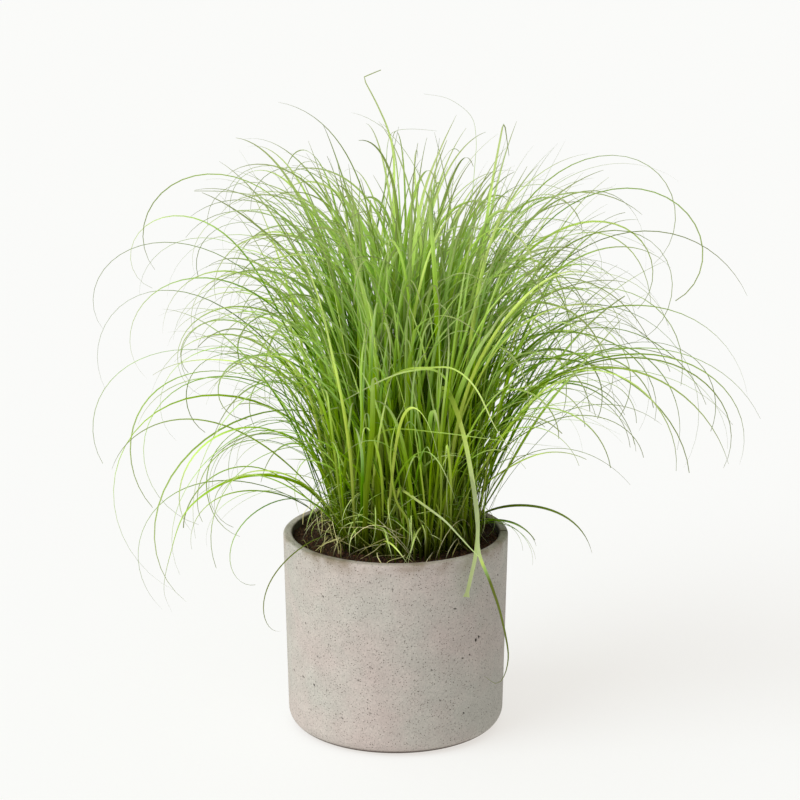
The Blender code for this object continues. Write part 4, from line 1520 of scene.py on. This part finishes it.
# %% The bed of soil
edge_drop = 0.0025
soil_grid = 0.0014
soil_steps = 260
heaped = soil_top + 0.0066
level_radius = 0.057
soil_top_radius = inner_rim - gap - (rim_radius - foot_radius) * (pot_height - soil_top) / pot_height
soil_edge = (soil_top_radius - 0.0002, soil_top + 0.0080)
soil_foot = inner_foot - gap
soil_bottom = pot_floor + gap
# Longer than any line of the profile, so that such a line gets no points between its ends
unbroken = 1.0
soil_profile = profile_through((0, heaped), [
    (soil_grid, [(level_radius, heaped)]),
    (soil_grid, [soil_edge]),
    (unbroken, arc(soil_foot - inner_rounding, soil_bottom + inner_rounding, inner_rounding, 0, -90, 5)),
    (unbroken, [(0, soil_bottom)]),
])
plain_soil = turned_mesh("plain_soil", soil_profile, soil_steps)
print(len(soil_profile), "points in the soil's profile")

# %% The tree that makes its top lumpy
lumpy, given = new_tree("lumpy_soil", [
    ("Lump height", "NodeSocketFloat", 0.0052),
    ("Lump width", "NodeSocketFloat", 0.009),
    ("Top", "NodeSocketFloat", soil_top - edge_drop),
    ("Soil", "NodeSocketMaterial", None),
])
here = add(lumpy, "GeometryNodeInputPosition")
fineness = add(lumpy, "ShaderNodeMath", {0: 1.0, 1: given["Lump width"]}, operation="DIVIDE")
noise = add(lumpy, "ShaderNodeTexNoise", {
    "Vector": here, "Scale": fineness, "Detail": 4.0, "Roughness": 0.62})
centred = add(lumpy, "ShaderNodeMath", {0: noise, 1: 0.55}, operation="SUBTRACT")
rise = add(lumpy, "ShaderNodeMath", {0: centred, 1: given["Lump height"]}, operation="MULTIPLY")
height = add(lumpy, "ShaderNodeSeparateXYZ", {0: here}).outputs["Z"]
on_top = add(lumpy, "ShaderNodeMath", {0: height, 1: given["Top"]}, operation="GREATER_THAN")
lift = add(lumpy, "ShaderNodeMath", {0: rise, 1: on_top}, operation="MULTIPLY")
upwards = add(lumpy, "ShaderNodeCombineXYZ", {"Z": lift})
raised = add(lumpy, "GeometryNodeSetPosition", {"Geometry": given["Geometry"], "Offset": upwards})
bedded = add(lumpy, "GeometryNodeSetMaterial", {"Geometry": raised, "Material": given["Soil"]})
add(lumpy, "NodeGroupOutput", {"Geometry": bedded})
soil = made_by(lumpy, "soil_bed", plain_soil, {"Soil": peat_soil})
soil.data.shade_smooth()
print("the bed of soil has", len(soil.data.polygons), "faces")

# %% The tree that scatters crumbs on it
scatter, given = new_tree("scattered_crumbs", [
    ("Bed", "NodeSocketObject", None),
    ("Spacing", "NodeSocketFloat", 0.0022),
    ("Smallest", "NodeSocketFloat", 0.0005),
    ("Largest", "NodeSocketFloat", 0.0021),
    ("Seed", "NodeSocketInt", 4),
    ("Crumb", "NodeSocketMaterial", None),
])
bed = add(scatter, "GeometryNodeObjectInfo", {"Object": given["Bed"]}).outputs["Geometry"]
height = add(scatter, "ShaderNodeSeparateXYZ", {0: add(scatter, "GeometryNodeInputPosition")}).outputs["Z"]
on_bed = add(scatter, "FunctionNodeCompare", {
    0: height, 1: soil_top - edge_drop}, data_type="FLOAT", operation="GREATER_THAN")
spots = add(scatter, "GeometryNodeDistributePointsOnFaces", {
    "Mesh": bed, "Selection": on_bed, "Distance Min": given["Spacing"], "Density Max": 400000.0,
    "Density Factor": 1.0, "Seed": given["Seed"]}, distribute_method="POISSON")
lump = add(scatter, "GeometryNodeMeshIcoSphere", {"Radius": 1.0, "Subdivisions": 1})
turns = add(scatter, "FunctionNodeRandomValue", {
    "Min": (0, 0, 0), "Max": (6.28, 6.28, 6.28), "Seed": given["Seed"]}, data_type="FLOAT_VECTOR")
size = add(scatter, "FunctionNodeRandomValue", {"Seed": given["Seed"]}, data_type="FLOAT").outputs[1]
mostly_small = add(scatter, "ShaderNodeMath", {0: size, 1: 2.5}, operation="POWER")
crumb_size = add(scatter, "ShaderNodeMapRange", {
    "Value": mostly_small, "To Min": given["Smallest"], "To Max": given["Largest"]})
squeeze = add(scatter, "FunctionNodeRandomValue", {
    "Min": (0.7, 0.45, 0.45), "Max": (1.3, 1.0, 0.8), "Seed": given["Seed"]}, data_type="FLOAT_VECTOR")
crumb_scale = add(scatter, "ShaderNodeVectorMath", {0: squeeze, "Scale": crumb_size}, operation="SCALE")
crumbs = add(scatter, "GeometryNodeInstanceOnPoints", {
    "Points": spots, "Instance": lump, "Rotation": turns, "Scale": crumb_scale})
loose = add(scatter, "GeometryNodeRealizeInstances", {"Geometry": crumbs})
browned = add(scatter, "GeometryNodeSetMaterial", {"Geometry": loose, "Material": given["Crumb"]})
add(scatter, "NodeGroupOutput", {"Geometry": browned})
nothing = bpy.data.meshes.new("no_crumbs")
crumb_piece = made_by(scatter, "soil_crumbs", nothing, {"Bed": soil, "Crumb": peat_crumb})
print("the crumbs have", len(crumb_piece.data.polygons), "faces")

# %% Dry threads, which grow by the leaves' rule
thread_count = 330
thread_stations = 14
wall_margin = 0.0015
outer_share = 0.85


def thread(chance):
    """A thread that leans far over and comes down again inside the pot; None if it would reach the wall."""
    distance = chance.uniform(0.038, 0.067) if chance.random() < outer_share else chance.uniform(0, 0.04)
    turn = chance.uniform(0, 360)
    x = distance * math.cos(math.radians(turn))
    y = distance * math.sin(math.radians(turn))
    way = Leaf(chance.uniform(0, 360), chance.uniform(20, 80), chance.uniform(95, 190),
               chance.uniform(0.03, 0.085), chance.uniform(0.6, 1.8), 0.0005, chance.uniform(-0.02, 0.02),
               0, 0, thread_stations)
    places = in_place(way, np.array((x, y)), midrib(way))
    if np.hypot(places[:, 0], places[:, 1]).max() > inner_rim - wall_margin:
        return None
    width = chance.uniform(0.00035, 0.0008)
    return blade_like(way, (x, y, heaped), chance, width=width, fold=1.0, tip=0.4,
                      wave=chance.uniform(6, 20), drop=0.002, young=chance.uniform(-0.3, 1.7))


threads = [one for one in (thread(chance) for _ in range(thread_count)) if one]
thread_piece = finished_leaves(made_by(growth, "dry_threads", point_mesh("threads", threads), {
    "Stations": thread_stations, "Late stations": 0.0, "Keel depth": 0.9, "Thickness": 0.8,
    "Blade": dry_leaf}))
print(len(threads), "threads")

# %% [markdown]
# ## Into the frame
# Each shoot's leaves take the place of that shoot's solid, and the pot and the bed of soil take the place
# of theirs. The crumbs and the threads lie on the soil and replace nothing. Nothing on a potted plant turns
# or slides, so every piece rides on the one body there is.

# %% Hand the pieces over
for name, piece in leaf_pieces.items():
    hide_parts(name)
    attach(piece, "root")

for piece, node, slot in ((pot, "pot", "concrete"), (soil, "soil", "soil")):
    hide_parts(node)
    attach(piece, "root")
for piece, slot in ((crumb_piece, "soil"), (thread_piece, "leaf")):
    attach(piece, "root")

low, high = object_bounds()
print("visual reaches from", tuple(low), "to", tuple(high))
